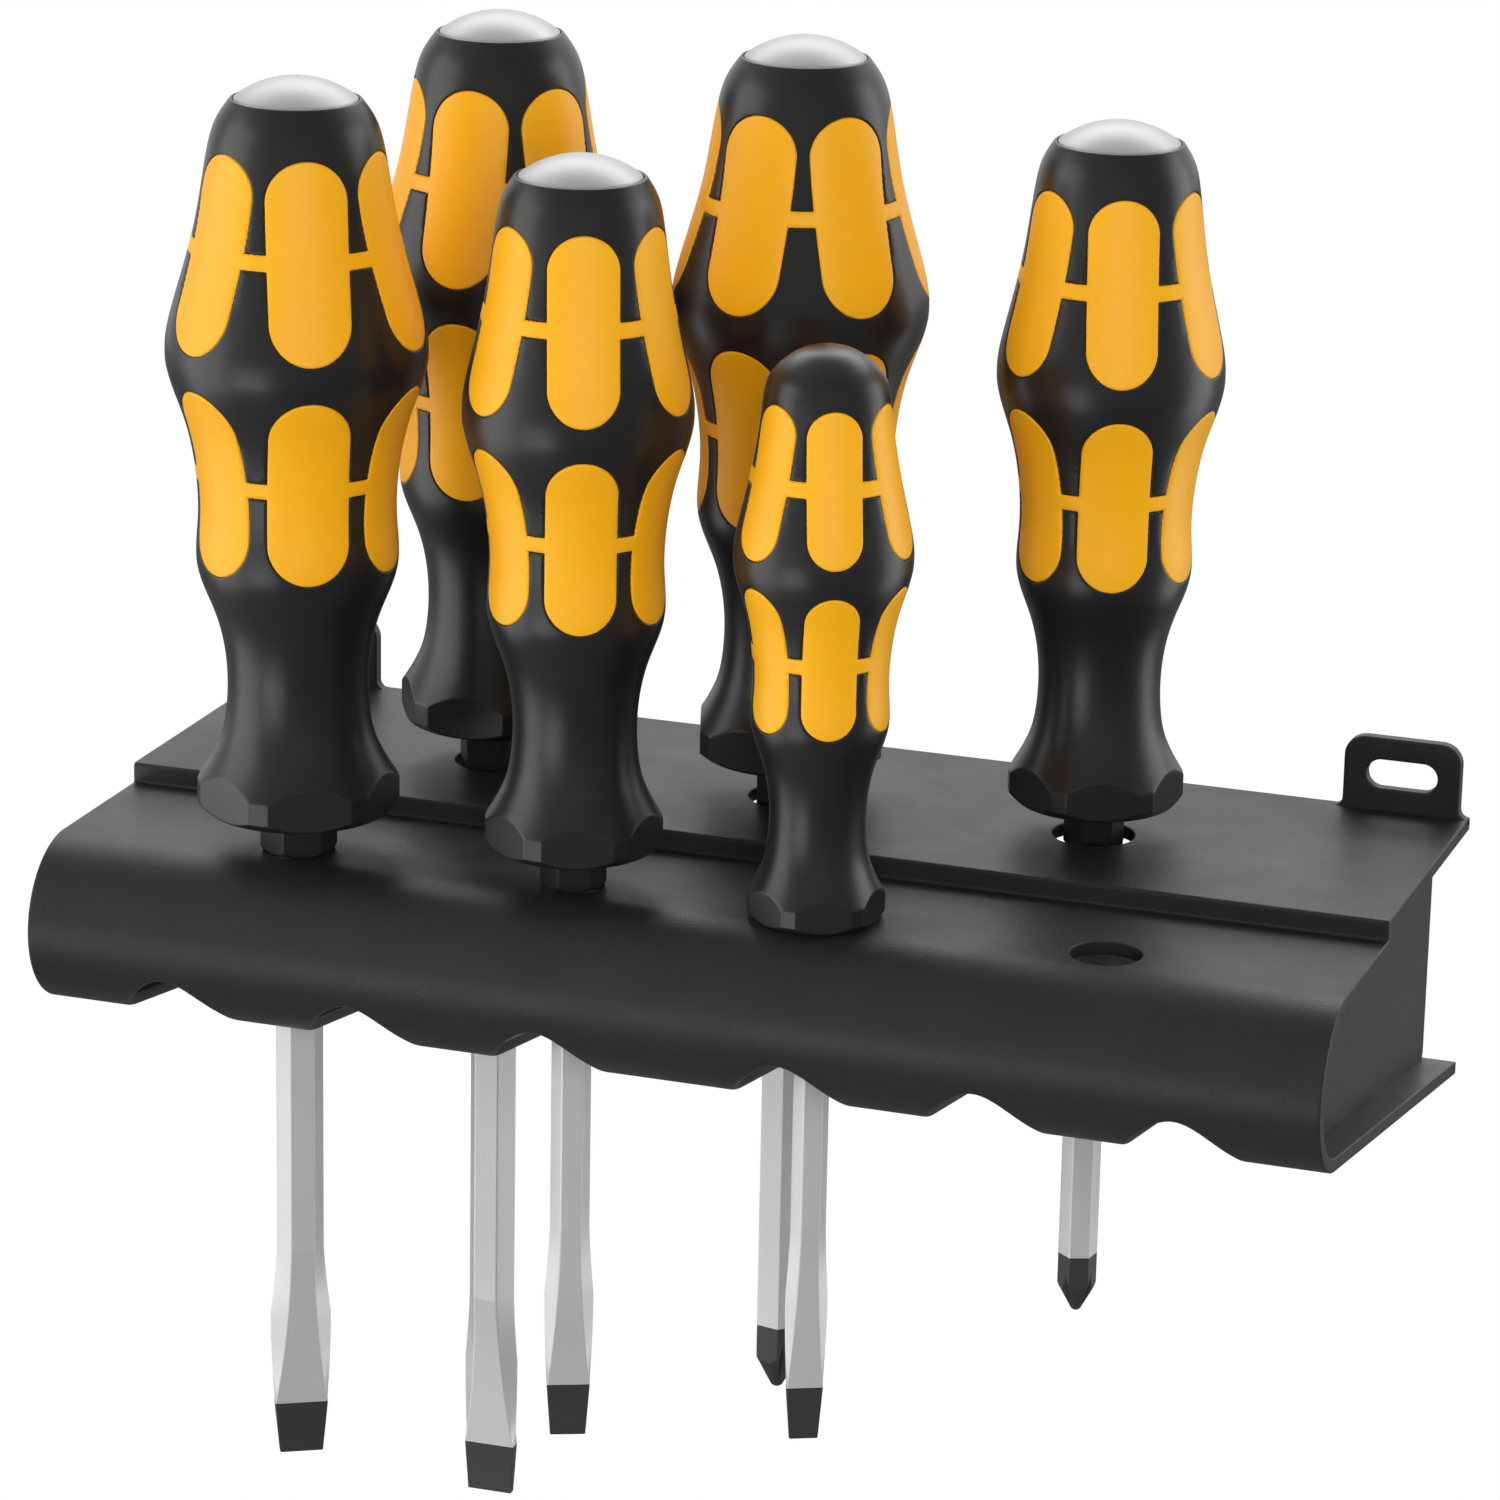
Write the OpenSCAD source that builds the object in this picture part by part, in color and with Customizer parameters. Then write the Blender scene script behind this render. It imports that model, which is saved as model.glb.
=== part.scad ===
// Six striking-cap screwdrivers standing in a moulded wall rack.
// Origin: midway between the two wall slots, on the wall plane. X runs along the rack, +Y is into the wall.

/* [Rack shell] */
// Length of the rack along the wall
rack_length = 190; // [180:1:230]
// Wall thickness of the moulding
wall = 2; // [1.6:0.1:2.4]
// Distance from the wall plane to the step between the two shelves
step_depth = 50.5; // [46:0.5:54]
// Drop from the back shelf to the front shelf
step_height = 3; // [2:0.5:5]
// Distance of the centre of the rounded nose in front of the front row of holes
nose_offset = 4.5; // [4:0.5:12]
// Outer radius of the rounded nose
nose_radius = 12.4; // [10:0.1:14]
// Height of the rack at the wall plane
rack_height = 40; // [38:0.5:46]
// Distance of each end wall from the end of the rack
end_inset = 5; // [3:0.5:7]
// Thickness of the inner ribs
rib_thickness = 1.4; // [1.2:0.1:1.6]

/* [Wall ears] */
// Width of a wall ear
ear_width = 17.4; // [16:0.1:20]
// Height of a wall ear above the back shelf
ear_height = 11; // [10:0.5:14]
// Distance of an ear from the end of the rack
ear_inset = 1.3; // [0.5:0.1:3]
// Corner radius of an ear
ear_corner = 3.1; // [2:0.1:4]
// Radius that blends an ear into the shelf
ear_fillet = 2; // [1:0.1:3]
// Length of a wall slot
slot_length = 10.5; // [8:0.1:12]
// Width of a wall slot, for the shank of a screw
slot_width = 4.3; // [3:0.1:5]
// Height of the slot centre above the back shelf
slot_rise = 5.5; // [4.5:0.1:6]

/* [Holes for the drivers] */
// Distance of the front row from the wall plane
front_row_depth = 70; // [68:0.5:72]
// Distance of the back row from the wall plane
back_row_depth = 28.5; // [26:0.5:32]
// Offset of the two inner front holes from the middle
front_inner_offset = 18; // [17:0.1:18.4]
// Offset of the two outer front holes from the middle
front_outer_offset = 60; // [59.8:0.1:61]
// Bore of the outer front holes
outer_hole_d = 10; // [9.8:0.1:10.4]
// Bore of the inner front holes
inner_hole_d = 8.6; // [8.4:0.1:9]
// Bore of the back holes
back_hole_d = 12; // [11.6:0.1:13]
// Width of the seat lugs under a back hole
lug_width = 5; // [3:0.5:6]
// Height of the seat lugs
lug_height = 2; // [1.5:0.1:3]
// Radial play between a blade and a seat lug
lug_clearance = 0.4; // [0.3:0.05:0.8]

/* [Slots in the underside] */
// Width of the long slots in the bottom plate
run_slot_width = 15.4; // [12:0.1:15.6]
// Wall that the slots leave standing at the front of the nose
run_slot_wall = 1.1; // [0.9:0.1:3]
// Height of that cut above the lower edge of the wall
run_slot_lip = 0.6; // [0.4:0.1:1]
// Distance from the wall plane to the back end of the slots
run_slot_back = 20; // [16:0.5:22]
// Spacing of neighbouring slots, counted outwards from the pair under the inner front holes
run_slot_pitch = 28.2; // [27.4:0.1:28.4]
// Land between a slot and the rib beside it
slot_land = 0.5; // [0.3:0.1:0.8]
// Play round a blade in its round hole in the bottom plate
blade_play = 1.6; // [1:0.1:1.7]

/* [Handles] */
// Length of the large handles with the cap
large_length = 105.5; // [100:0.5:112]
// Largest diameter of the large handles
large_belly = 36.8; // [34:0.1:38]
// Length of the medium handles with the cap
medium_length = 98.7; // [94:0.1:104]
// Largest diameter of the medium handles
medium_belly = 32.1; // [30:0.1:34]
// Length of the small handle
small_length = 81.5; // [78:0.5:86]
// Largest diameter of the small handle
small_belly = 24.8; // [23:0.1:26]
// Thickness of the black skin over the yellow core
skin_thickness = 2; // [1.8:0.1:2.6]
// Depth of the thin bands in the skin
band_depth = 0.9; // [0.6:0.1:1.2]
// Width of the grip pads, as a share of the belly radius
pad_width_share = 0.63; // [0.5:0.01:0.7]
// Distance between the roots of neighbouring pads inside the handle
pad_parting = 0.2; // [0.15:0.05:0.5]
// Number of pads round the handle
pad_count = 6; // [5, 6]
// Height of the thin bands that join the pads of a row
band_height = 2.2; // [1.5:0.1:3]
// Radial gap that keeps neighbouring moulded surfaces apart
shot_gap = 0.1; // [0.05:0.01:0.2]

/* [Striking caps] */
// Rim diameter of the caps on the large handles
large_cap = 17.4; // [16.5:0.1:17.6]
// Rim diameter of the caps on the medium handles
medium_cap = 17.2; // [15.5:0.1:17.6]
// Radius of the handles at the crown in which a cap is set
crown_radius = 9.1; // [9:0.1:9.8]
// Height of the domed top
cap_dome = 3; // [2:0.1:3.5]
// Height of the straight rim under the dome
cap_rim = 1; // [0.6:0.1:1.5]
// Diameter of the spigot that meets the tang
cap_spigot = 11; // [10:0.5:12]
// Length of that spigot
cap_spigot_length = 4; // [3:0.5:5]

/* [Blades and bolsters] */
// Free length of the long slotted blade
slotted_long = 125; // [115:1:135]
// Free length of the middle slotted blade
slotted_middle = 100; // [92:1:108]
// Free length of the short slotted blade
slotted_short = 90; // [82:1:98]
// Free length of the fine slotted blade
slotted_fine = 79; // [72:1:86]
// Free length of the large cross blade
cross_large = 100; // [92:1:108]
// Free length of the small cross blade
cross_small = 79; // [72:1:86]
// Width across flats of the thick hexagon bars
thick_bar = 6.3; // [6:0.1:6.5]
// Width across flats of the middle hexagon bar
middle_bar = 6; // [5.6:0.1:6.3]
// Width across flats of the thin hexagon bars
thin_bar = 5; // [4.6:0.1:5.4]
// Width across flats of the fine hexagon bar
fine_bar = 4.5; // [4.2:0.1:4.8]
// Width across flats of the bolsters on the large handles
large_bolster = 9.6; // [9.3:0.1:9.8]
// Width across flats of the bolster on the short slotted driver
medium_bolster = 8.2; // [8:0.1:8.4]
// Width across flats of the bolster on the small cross driver
small_bolster = 7.6; // [7.2:0.1:8]
// Bolster length seen between shelf and handle on the middle slotted driver
middle_bolster_rise = 6.3; // [4:0.1:7]
// Bolster length seen between shelf and handle on the short slotted driver
short_bolster_rise = 5.8; // [4:0.1:7]
// Bolster length seen between shelf and the large handles of the back row
back_bolster_rise = 6.7; // [4.5:0.1:8]
// Bolster length seen between shelf and the medium handle of the back row
small_bolster_rise = 5.2; // [3.5:0.1:6]
// Radial play of the hexagon bar in the bolster and the handle
bar_gap = 0.1; // [0.05:0.01:0.2]
// Clearance between a bolster chamfer and the rim of a front hole
rim_gap = 0.1; // [0.05:0.01:0.2]

/* [Slotted tips] */
// Edge width of the long slotted tip
long_tip = 7; // [6.5:0.1:7.5]
// Edge width of the middle slotted tip
middle_tip = 6.3; // [5.8:0.1:6.8]
// Edge width of the short slotted tip
short_tip = 5.1; // [4.6:0.1:5.6]
// Edge width of the fine slotted tip
fine_tip = 4.1; // [3.8:0.1:4.6]
// Thickness of the edge as a share of its width
edge_share = 0.17; // [0.14:0.01:0.2]
// Widest part of the long forged flat
long_flare = 8.6; // [8:0.1:9.2]
// Widest part of the middle forged flat
middle_flare = 9; // [8:0.1:9.2]
// Widest part of the short forged flat
short_flare = 7.2; // [6.6:0.1:7.6]
// Widest part of the fine forged flat
fine_flare = 6.2; // [5.6:0.1:6.6]
// Distance from the edge to the widest part of a forged flat
flare_height = 22; // [18:0.5:24]
// Distance from the edge to the full hexagon bar
flare_top = 33; // [30:0.5:38]

/* [Cross tips] */
// Thickness of a wing at the point of a cross tip, as a share of the bar
wing_share = 0.2; // [0.16:0.01:0.24]
// Radius of the blunt end of a cross point, as a share of the bar
blunt_share = 0.12; // [0.1:0.01:0.16]
// Included angle of the cross point
point_angle = 56; // [50:1:60]
// Slope of the flute bottoms to the axis
flute_angle = 17; // [14:1:20]

/* [Turn of each driver in its hole] */
// Degrees by which the long slotted driver is turned
slotted_long_turn = 1.5; // [-30:0.5:30]
// Degrees by which the middle slotted driver is turned
slotted_middle_turn = 30; // [-30:0.5:30]
// Degrees by which the short slotted driver is turned
slotted_short_turn = 23.5; // [-30:0.5:30]
// Degrees by which the fine slotted driver is turned
slotted_fine_turn = 26; // [-30:0.5:30]
// Degrees by which the large cross driver is turned
cross_large_turn = -11.7; // [-30:0.1:30]
// Degrees by which the small cross driver is turned
cross_small_turn = 21; // [-30:0.5:30]

/* [Hidden] */
$fn = 64;
top = -slot_rise;
front_top = top - step_height;
base = top - rack_height;
nose_z = front_top - nose_radius;
nose_depth = front_row_depth + nose_offset;
run_slot_front = nose_depth + nose_radius - run_slot_wall;
run_slot_top = nose_z - sqrt(pow(nose_radius, 2) - pow(run_slot_front - nose_depth, 2)) + run_slot_lip;
slot_spacing = rack_length - 2 * ear_inset - ear_width;
end_wall_x = rack_length / 2 - end_inset;
run_slots = [for (side = [-1, 1]) for (i = [0:2]) side * (front_inner_offset + i * run_slot_pitch)];
back_offset = front_inner_offset + run_slot_pitch;
rib_offset = back_offset + run_slot_width / 2 + slot_land + rib_thickness / 2;

// Direction of the bottom plate: tangent to the nose, ending at the back edge
to_edge = [nose_depth, base - nose_z];
plate_angle = atan2(to_edge[1], to_edge[0]) + asin(nose_radius / norm(to_edge));

// Outline of all handles up to the belly: share of the length, share of the belly radius
grip_outline = [
    [0.0131, 0.79], [0.036, 0.787], [0.05, 0.76], [0.072, 0.678], [0.0975, 0.608], [0.148, 0.55],
    [0.215, 0.555], [0.28, 0.643], [0.342, 0.768], [0.405, 0.761], [0.4766, 0.778], [0.55, 0.87], [0.6277, 1]
];
// Outline above the belly: share of the length, share of the way from the crown's radius to the belly's
shoulder_outline = [[0.7, 0.87], [0.808, 0.538], [0.9026, 0.351], [0.945, 0.205]];
// Closed top of a handle without a cap: share of the length, share of the belly radius
dome_outline = [[0.97, 0.5], [0.99, 0.3], [1, 0.06]];
dome_share = 0.55;
// Shares of the handle length between which the two rows of pads lie
pad_rows = [[0.345, 0.6], [0.65, 0.91]];
core_bottom = 0.2;
capless_core_top = 0.93;
flats_top = 0.14;
bevel_share = 0.7;
rim_share = 0.783;
wide_flat_angle = 24;
narrow_flat_angle = 6;
bolster_tip_share = 0.9;

// Shape of the rack, seen along X: body of the section, set in from the outside by inset
module section(inset) {
    tangent = [cos(plate_angle - 90), sin(plate_angle - 90)] * (nose_radius - inset);
    polygon([
        [0, top - inset],
        [inset - step_depth, top - inset],
        [inset - step_depth, front_top - inset],
        [-nose_depth, front_top - inset],
        [-nose_depth, nose_z] + tangent,
        [0, base + inset / cos(plate_angle)]
    ]);
    translate([-nose_depth, nose_z]) circle(r = nose_radius - inset, $fn = 96);
}

// Flat shape with round ends, between two heights on the drawing's upright axis
module stadium(width, low, high) {
    for (y = [low + width / 2, high - width / 2]) translate([0, y]) circle(d = width);
    translate([-width / 2, low + width / 2]) square([width, high - low - width]);
}

// Extrusion of a section along the rack, centred at x
module along_rack(x, width) {
    translate([x - width / 2, 0, 0]) rotate([90, 0, 90]) linear_extrude(height = width) children();
}

// Upright tab on the wall side, with its slot for a screw
module ear(side) {
    x = side * slot_spacing / 2;
    blend_r = min(ear_fillet, ear_inset);
    difference() {
        translate([x, 0, 0]) rotate([90, 0, 0]) linear_extrude(height = wall) difference() {
            union() {
                translate([-ear_width / 2, top - wall / 2]) square([ear_width, wall / 2 + ear_height - ear_corner]);
                translate([ear_corner - ear_width / 2, top]) square([ear_width - 2 * ear_corner, ear_height]);
                for (s = [-1, 1])
                    translate([s * (ear_width / 2 - ear_corner), top + ear_height - ear_corner])
                        circle(r = ear_corner);
                translate([-ear_width / 2 - blend_r, top - wall / 2])
                    square([ear_width + 2 * blend_r, wall / 2 + blend_r]);
            }
            for (s = [-1, 1])
                translate([s * (ear_width / 2 + blend_r), top + blend_r]) circle(r = blend_r);
        }
        for (s = [-1, 1])
            translate([x + s * (slot_length - slot_width) / 2, 1, 0])
                rotate([90, 0, 0]) cylinder(d = slot_width, h = wall + 2);
        translate([x - (slot_length - slot_width) / 2, -wall - 1, -slot_width / 2])
            cube([slot_length - slot_width, wall + 2, slot_width]);
    }
}

// Two lugs under a back hole that carry the end of a bolster
module seat_lugs(x, bar) {
    inner = bar / sqrt(3) + lug_clearance;
    reach = back_hole_d / 2 + 1.2 - inner;
    for (s = [-1, 1])
        translate([x - lug_width / 2, -back_row_depth + (s > 0 ? inner : -inner - reach), top - wall - lug_height])
            cube([lug_width, reach, lug_height]);
}

// Long slot in the bottom plate, cut from below, with ends rounded in short steps
module run_slot(x) {
    half = run_slot_width / 2;
    steps = [for (i = [0:16]) i * 180 / 16];
    translate([x, 0, base - 1]) linear_extrude(height = run_slot_top - base + 1) polygon(concat(
        [for (a = steps) [-half * cos(a), half - run_slot_front - half * sin(a)]],
        [for (a = steps) [half * cos(a), -half - run_slot_back + half * sin(a)]]
    ));
}

// Moulded shell with its end walls, inner ribs and ears, before any hole is made
module shell() {
    difference() {
        along_rack(0, rack_length) section(0);
        along_rack(0, rack_length + 2) section(wall);
    }
    for (side = [-1, 1]) {
        along_rack(side * (end_wall_x - wall / 2), wall) section(0);
        along_rack(side * rib_offset, rib_thickness) section(0);
        ear(side);
    }
}

// Round hole through one of the shelves, whose upper face is at height z
module shelf_hole(x, depth, z, bore) {
    translate([x, -depth, z - wall - 1]) cylinder(d = bore, h = wall + 2);
}

// Round hole in the bottom plate for a blade
module blade_hole(x, depth, bar) {
    translate([x, -depth, base - 1]) cylinder(d = 2 * corner(bar) + blade_play, h = nose_z - base);
}

module rack() {
    color([0.24, 0.24, 0.25]) {
        difference() {
            shell();
            for (side = [-1, 1]) {
                shelf_hole(side * front_outer_offset, front_row_depth, front_top, outer_hole_d);
                shelf_hole(side * front_inner_offset, front_row_depth, front_top, inner_hole_d);
                blade_hole(side * front_outer_offset, front_row_depth, middle_bar);
            }
            for (x = [-back_offset, 0, back_offset]) shelf_hole(x, back_row_depth, top, back_hole_d);
            blade_hole(0, back_row_depth, thick_bar);
            for (x = run_slots) run_slot(x);
        }
        for (x = [-back_offset, 0]) seat_lugs(x, thick_bar);
        seat_lugs(back_offset, thin_bar);
    }
}

// Radius to the corners of a hexagon of the given width across flats
function corner(across) = across / sqrt(3);

// Hexagon bar along Z, with one flat to the front
module hex_bar(across, length) {
    cylinder(r = corner(across), h = length, $fn = 6);
}

// Point on a smooth curve between b and c
function between(a, b, c, d, t) =
    0.5 * (2 * b + (c - a) * t + (2 * a - 5 * b + 4 * c - d) * t * t + (3 * b - a - 3 * c + d) * t * t * t);
function smooth(pts, steps) = [
    for (i = [0:len(pts) - 2]) for (j = [0:steps - 1])
        between(pts[max(i - 1, 0)], pts[i], pts[i + 1], pts[min(i + 2, len(pts) - 1)], j / steps),
    pts[len(pts) - 1]
];

// Height of the face on which a cap's rim, a cap's spigot or a capless core ends
function crown(length) = length - cap_dome;
function core_top(length, capped) =
    capped ? crown(length) - cap_rim - cap_spigot_length : capless_core_top * length;

// Half outline of a handle as radius and height, from its bottom bevel to its crown or closed dome
function grip_points(length, belly, capped) =
    let (
        end_share = capped ? crown_radius / (belly / 2) : dome_share,
        shoulder = [for (p = shoulder_outline) [p[0], end_share + (1 - end_share) * p[1]]],
        ends = capped ? [[crown(length) / length, end_share]] : dome_outline,
        pts = concat([[0, bevel_share]], smooth(concat(grip_outline, shoulder, ends), 2))
    )
    [for (p = pts) [p[1] * belly / 2, p[0] * length]];

module grip_solid(length, belly, capped, inset) {
    pts = grip_points(length, belly, capped);
    rotate_extrude() polygon(concat(
        [[0, 0]],
        [for (p = pts) [max(p[0] - inset, 0.5), p[1]]],
        [[0, pts[len(pts) - 1][1]]]
    ));
}

// Twelve-sided foot with six wide and six narrow flats, open above
module foot(length, belly) {
    rim = rim_share * belly / 2;
    height = flats_top * length;
    intersection() {
        cylinder(r = corner(2 * rim * cos(wide_flat_angle)), h = height, $fn = 6);
        rotate([0, 0, 30]) cylinder(r = corner(2 * rim * cos(narrow_flat_angle)), h = height, $fn = 6);
    }
    translate([0, 0, 0.9 * height]) cylinder(r = belly, h = length);
}

// Pads of both rows, made smaller all round by gap: each runs outwards from where neighbouring pads part
module pads(length, belly, gap) {
    width = pad_width_share * belly / 2;
    root = width / 2 / tan(180 / pad_count) + pad_parting + gap;
    for (row = pad_rows) for (i = [0:pad_count - 1])
        rotate([0, 0, i * 360 / pad_count]) rotate([90, 0, 0])
            translate([0, 0, root]) linear_extrude(height = belly - root)
                stadium(width - 2 * gap, row[0] * length + gap, row[1] * length - gap);
}

// Thin bands that join the pads of a row, lying in shallow grooves of the skin
module bands(length, belly, capped, gap) {
    difference() {
        for (row = pad_rows)
            translate([0, 0, (row[0] + row[1]) / 2 * length - band_height / 2 + gap])
                cylinder(r = belly, h = band_height - 2 * gap);
        grip_solid(length, belly, capped, band_depth - gap);
    }
}

// Inner body that the core fills and the skin leaves free
module core_body(length, belly, capped, gap) {
    intersection() {
        grip_solid(length, belly, capped, skin_thickness - gap);
        translate([0, 0, core_bottom * length - gap])
            cylinder(r = belly, h = core_top(length, capped) - core_bottom * length + gap);
    }
}

// Yellow core: its pads and bands come out flush through the skin
module grip_core(length, belly, bar, capped) {
    color([0.97, 0.69, 0.12]) difference() {
        union() {
            core_body(length, belly, capped, 0);
            intersection() {
                grip_solid(length, belly, capped, 0);
                union() {
                    pads(length, belly, shot_gap);
                    bands(length, belly, capped, shot_gap);
                }
            }
        }
        hex_bar(bar + 2 * bar_gap, length);
    }
}

// Black skin with a window for each pad and a groove for each band
module grip_skin(length, belly, bar, cap, capped) {
    color([0.12, 0.12, 0.12]) difference() {
        intersection() {
            grip_solid(length, belly, capped, 0);
            foot(length, belly);
        }
        core_body(length, belly, capped, shot_gap);
        pads(length, belly, 0);
        bands(length, belly, capped, 0);
        translate([0, 0, -1]) hex_bar(bar + 2 * bar_gap, core_bottom * length + 2);
        if (capped) {
            translate([0, 0, crown(length) - cap_rim]) cylinder(d = cap + 2 * bar_gap, h = cap_rim + 1);
            translate([0, 0, core_top(length, true) - 0.5])
                cylinder(d = cap_spigot + 2 * bar_gap, h = cap_spigot_length + 1);
        }
    }
}

// Steel cap: domed head, straight rim and a spigot that stands on the tang
module strike_cap(length, cap) {
    head_r = (cap * cap / 4 + cap_dome * cap_dome) / (2 * cap_dome);
    color([0.75, 0.76, 0.77]) translate([0, 0, crown(length)]) rotate_extrude() {
        intersection() {
            translate([0, cap_dome - head_r]) circle(r = head_r, $fn = 128);
            square([cap / 2, cap_dome]);
        }
        translate([0, -cap_rim]) square([cap / 2, cap_rim]);
        translate([0, -cap_rim - cap_spigot_length]) square([cap_spigot / 2, cap_spigot_length]);
    }
}

// Depth to which a bolster goes below the shelf: its chamfer meets the rim of a front hole
function rim_sink(across, hole_d) = hole_d / 2 - rim_gap - bolster_tip_share * across / 2;

// Hexagon bolster with its chamfered lower end, from below the shelf up to the handle
module bolster(across, bar, rise, sink) {
    height = rise + sink;
    tip_r = bolster_tip_share * across / 2;
    color([0.1, 0.1, 0.1]) translate([0, 0, -height]) difference() {
        intersection() {
            hex_bar(across, height);
            cylinder(r1 = tip_r, r2 = tip_r + height, h = height);
        }
        translate([0, 0, -1]) hex_bar(bar + 2 * bar_gap, height + 2);
    }
}

// Half width and half thickness of a slotted end, as functions of the height above its edge
function ease(t) = (1 - cos(180 * t)) / 2;
function flare_half(s, edge, flare, bar) =
    s < flare_height ? edge / 2 + (flare - edge) / 2 * ease(s / flare_height)
    : flare / 2 + (corner(bar) - flare / 2) * ease((s - flare_height) / (flare_top - flare_height));
function grind_half(s, edge, bar) =
    edge_share * edge / 2 + (bar / 2 - edge_share * edge / 2) * pow(s / flare_top, 1.7);
function wing_half(s, edge, bar) =
    s < flare_height ? grind_half(s, edge, bar)
    : grind_half(flare_height, edge, bar) * (1 - 0.9 * ease((s - flare_height) / (flare_top - flare_height)));
tip_steps = [for (i = [0:12]) i / 12 * flare_top];

// Band between two mirrored curves, seen as half breadth against height
module mirrored(halves) {
    n = len(halves);
    polygon(concat(
        [for (i = [0:n - 1]) [halves[i], tip_steps[i]]],
        [for (i = [n - 1:-1:0]) [-halves[i], tip_steps[i]]]
    ));
}
module seen_from_front(depth) {
    translate([0, depth / 2, 0]) rotate([90, 0, 0]) linear_extrude(height = depth) children();
}
module seen_from_side(width) {
    translate([-width / 2, 0, 0]) rotate([90, 0, 90]) linear_extrude(height = width) children();
}

// Blade with a forged and ground flat end; its edge lies free_length below the handle
module slotted_blade(free_length, tang, bar, edge, flare) {
    color([0.72, 0.73, 0.74]) translate([0, 0, -free_length]) {
        translate([0, 0, flare_top]) hex_bar(bar, free_length + tang - flare_top);
        intersection() {
            seen_from_front(2 * bar) mirrored([for (s = tip_steps) flare_half(s, edge, flare, bar)]);
            seen_from_side(2 * flare) mirrored([for (s = tip_steps) grind_half(s, edge, bar)]);
            union() {
                hex_bar(bar, flare_top);
                seen_from_side(2 * flare) mirrored([for (s = tip_steps) wing_half(s, edge, bar)]);
            }
        }
    }
}

// Blade with a turned point and four milled flutes
module cross_blade(free_length, tang, bar) {
    blunt = blunt_share * bar;
    cone_h = (corner(bar) - blunt) / tan(point_angle / 2);
    wing = wing_share * bar / 2;
    color([0.72, 0.73, 0.74]) translate([0, 0, -free_length]) difference() {
        intersection() {
            hex_bar(bar, free_length + tang);
            union() {
                cylinder(r1 = blunt, r2 = corner(bar), h = cone_h);
                translate([0, 0, cone_h]) cylinder(r = bar, h = free_length + tang);
            }
        }
        for (i = [0:3])
            rotate([0, 0, 45 + 90 * i]) translate([wing * sqrt(2), 0, 0]) rotate([0, flute_angle, 0])
                rotate([0, 0, -45]) translate([0, 0, -bar]) cube([2 * bar, 2 * bar, 5 * bar]);
    }
}

// Places of the drivers: hole, height of the handle base above the origin, turn about the driver's own axis
module stand(x, depth, height, turn) {
    translate([x, -depth, height]) rotate([0, 0, turn]) children();
}
module at_slotted_long() {
    stand(-back_offset, back_row_depth, top + back_bolster_rise, slotted_long_turn) children();
}
module at_slotted_middle() {
    stand(-front_outer_offset, front_row_depth, front_top + middle_bolster_rise, slotted_middle_turn)
        children();
}
module at_slotted_short() {
    stand(-front_inner_offset, front_row_depth, front_top + short_bolster_rise, slotted_short_turn) children();
}
module at_slotted_fine() {
    stand(front_inner_offset, front_row_depth, front_top, slotted_fine_turn) children();
}
module at_cross_large() {
    stand(0, back_row_depth, top + back_bolster_rise, cross_large_turn) children();
}
module at_cross_small() {
    stand(back_offset, back_row_depth, top + small_bolster_rise, cross_small_turn) children();
}

module slotted_long_blade() {
    at_slotted_long() slotted_blade(slotted_long, core_top(large_length, true), thick_bar, long_tip, long_flare);
}
module slotted_long_bolster() { at_slotted_long() bolster(large_bolster, thick_bar, back_bolster_rise, wall); }
module slotted_long_core() { at_slotted_long() grip_core(large_length, large_belly, thick_bar, true); }
module slotted_long_skin() { at_slotted_long() grip_skin(large_length, large_belly, thick_bar, large_cap, true); }
module slotted_long_cap() { at_slotted_long() strike_cap(large_length, large_cap); }

module slotted_middle_blade() {
    at_slotted_middle()
        slotted_blade(slotted_middle, core_top(large_length, true), middle_bar, middle_tip, middle_flare);
}
module slotted_middle_bolster() {
    at_slotted_middle()
        bolster(large_bolster, middle_bar, middle_bolster_rise, rim_sink(large_bolster, outer_hole_d));
}
module slotted_middle_core() { at_slotted_middle() grip_core(large_length, large_belly, middle_bar, true); }
module slotted_middle_skin() {
    at_slotted_middle() grip_skin(large_length, large_belly, middle_bar, large_cap, true);
}
module slotted_middle_cap() { at_slotted_middle() strike_cap(large_length, large_cap); }

module slotted_short_blade() {
    at_slotted_short()
        slotted_blade(slotted_short, core_top(medium_length, true), thin_bar, short_tip, short_flare);
}
module slotted_short_bolster() {
    at_slotted_short()
        bolster(medium_bolster, thin_bar, short_bolster_rise, rim_sink(medium_bolster, inner_hole_d));
}
module slotted_short_core() { at_slotted_short() grip_core(medium_length, medium_belly, thin_bar, true); }
module slotted_short_skin() {
    at_slotted_short() grip_skin(medium_length, medium_belly, thin_bar, medium_cap, true);
}
module slotted_short_cap() { at_slotted_short() strike_cap(medium_length, medium_cap); }

module slotted_fine_blade() {
    at_slotted_fine()
        slotted_blade(slotted_fine, core_top(small_length, false), fine_bar, fine_tip, fine_flare);
}
module slotted_fine_core() { at_slotted_fine() grip_core(small_length, small_belly, fine_bar, false); }
module slotted_fine_skin() { at_slotted_fine() grip_skin(small_length, small_belly, fine_bar, 0, false); }

module cross_large_blade() {
    at_cross_large() cross_blade(cross_large, core_top(large_length, true), thick_bar);
}
module cross_large_bolster() { at_cross_large() bolster(large_bolster, thick_bar, back_bolster_rise, wall); }
module cross_large_core() { at_cross_large() grip_core(large_length, large_belly, thick_bar, true); }
module cross_large_skin() { at_cross_large() grip_skin(large_length, large_belly, thick_bar, large_cap, true); }
module cross_large_cap() { at_cross_large() strike_cap(large_length, large_cap); }

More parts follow.
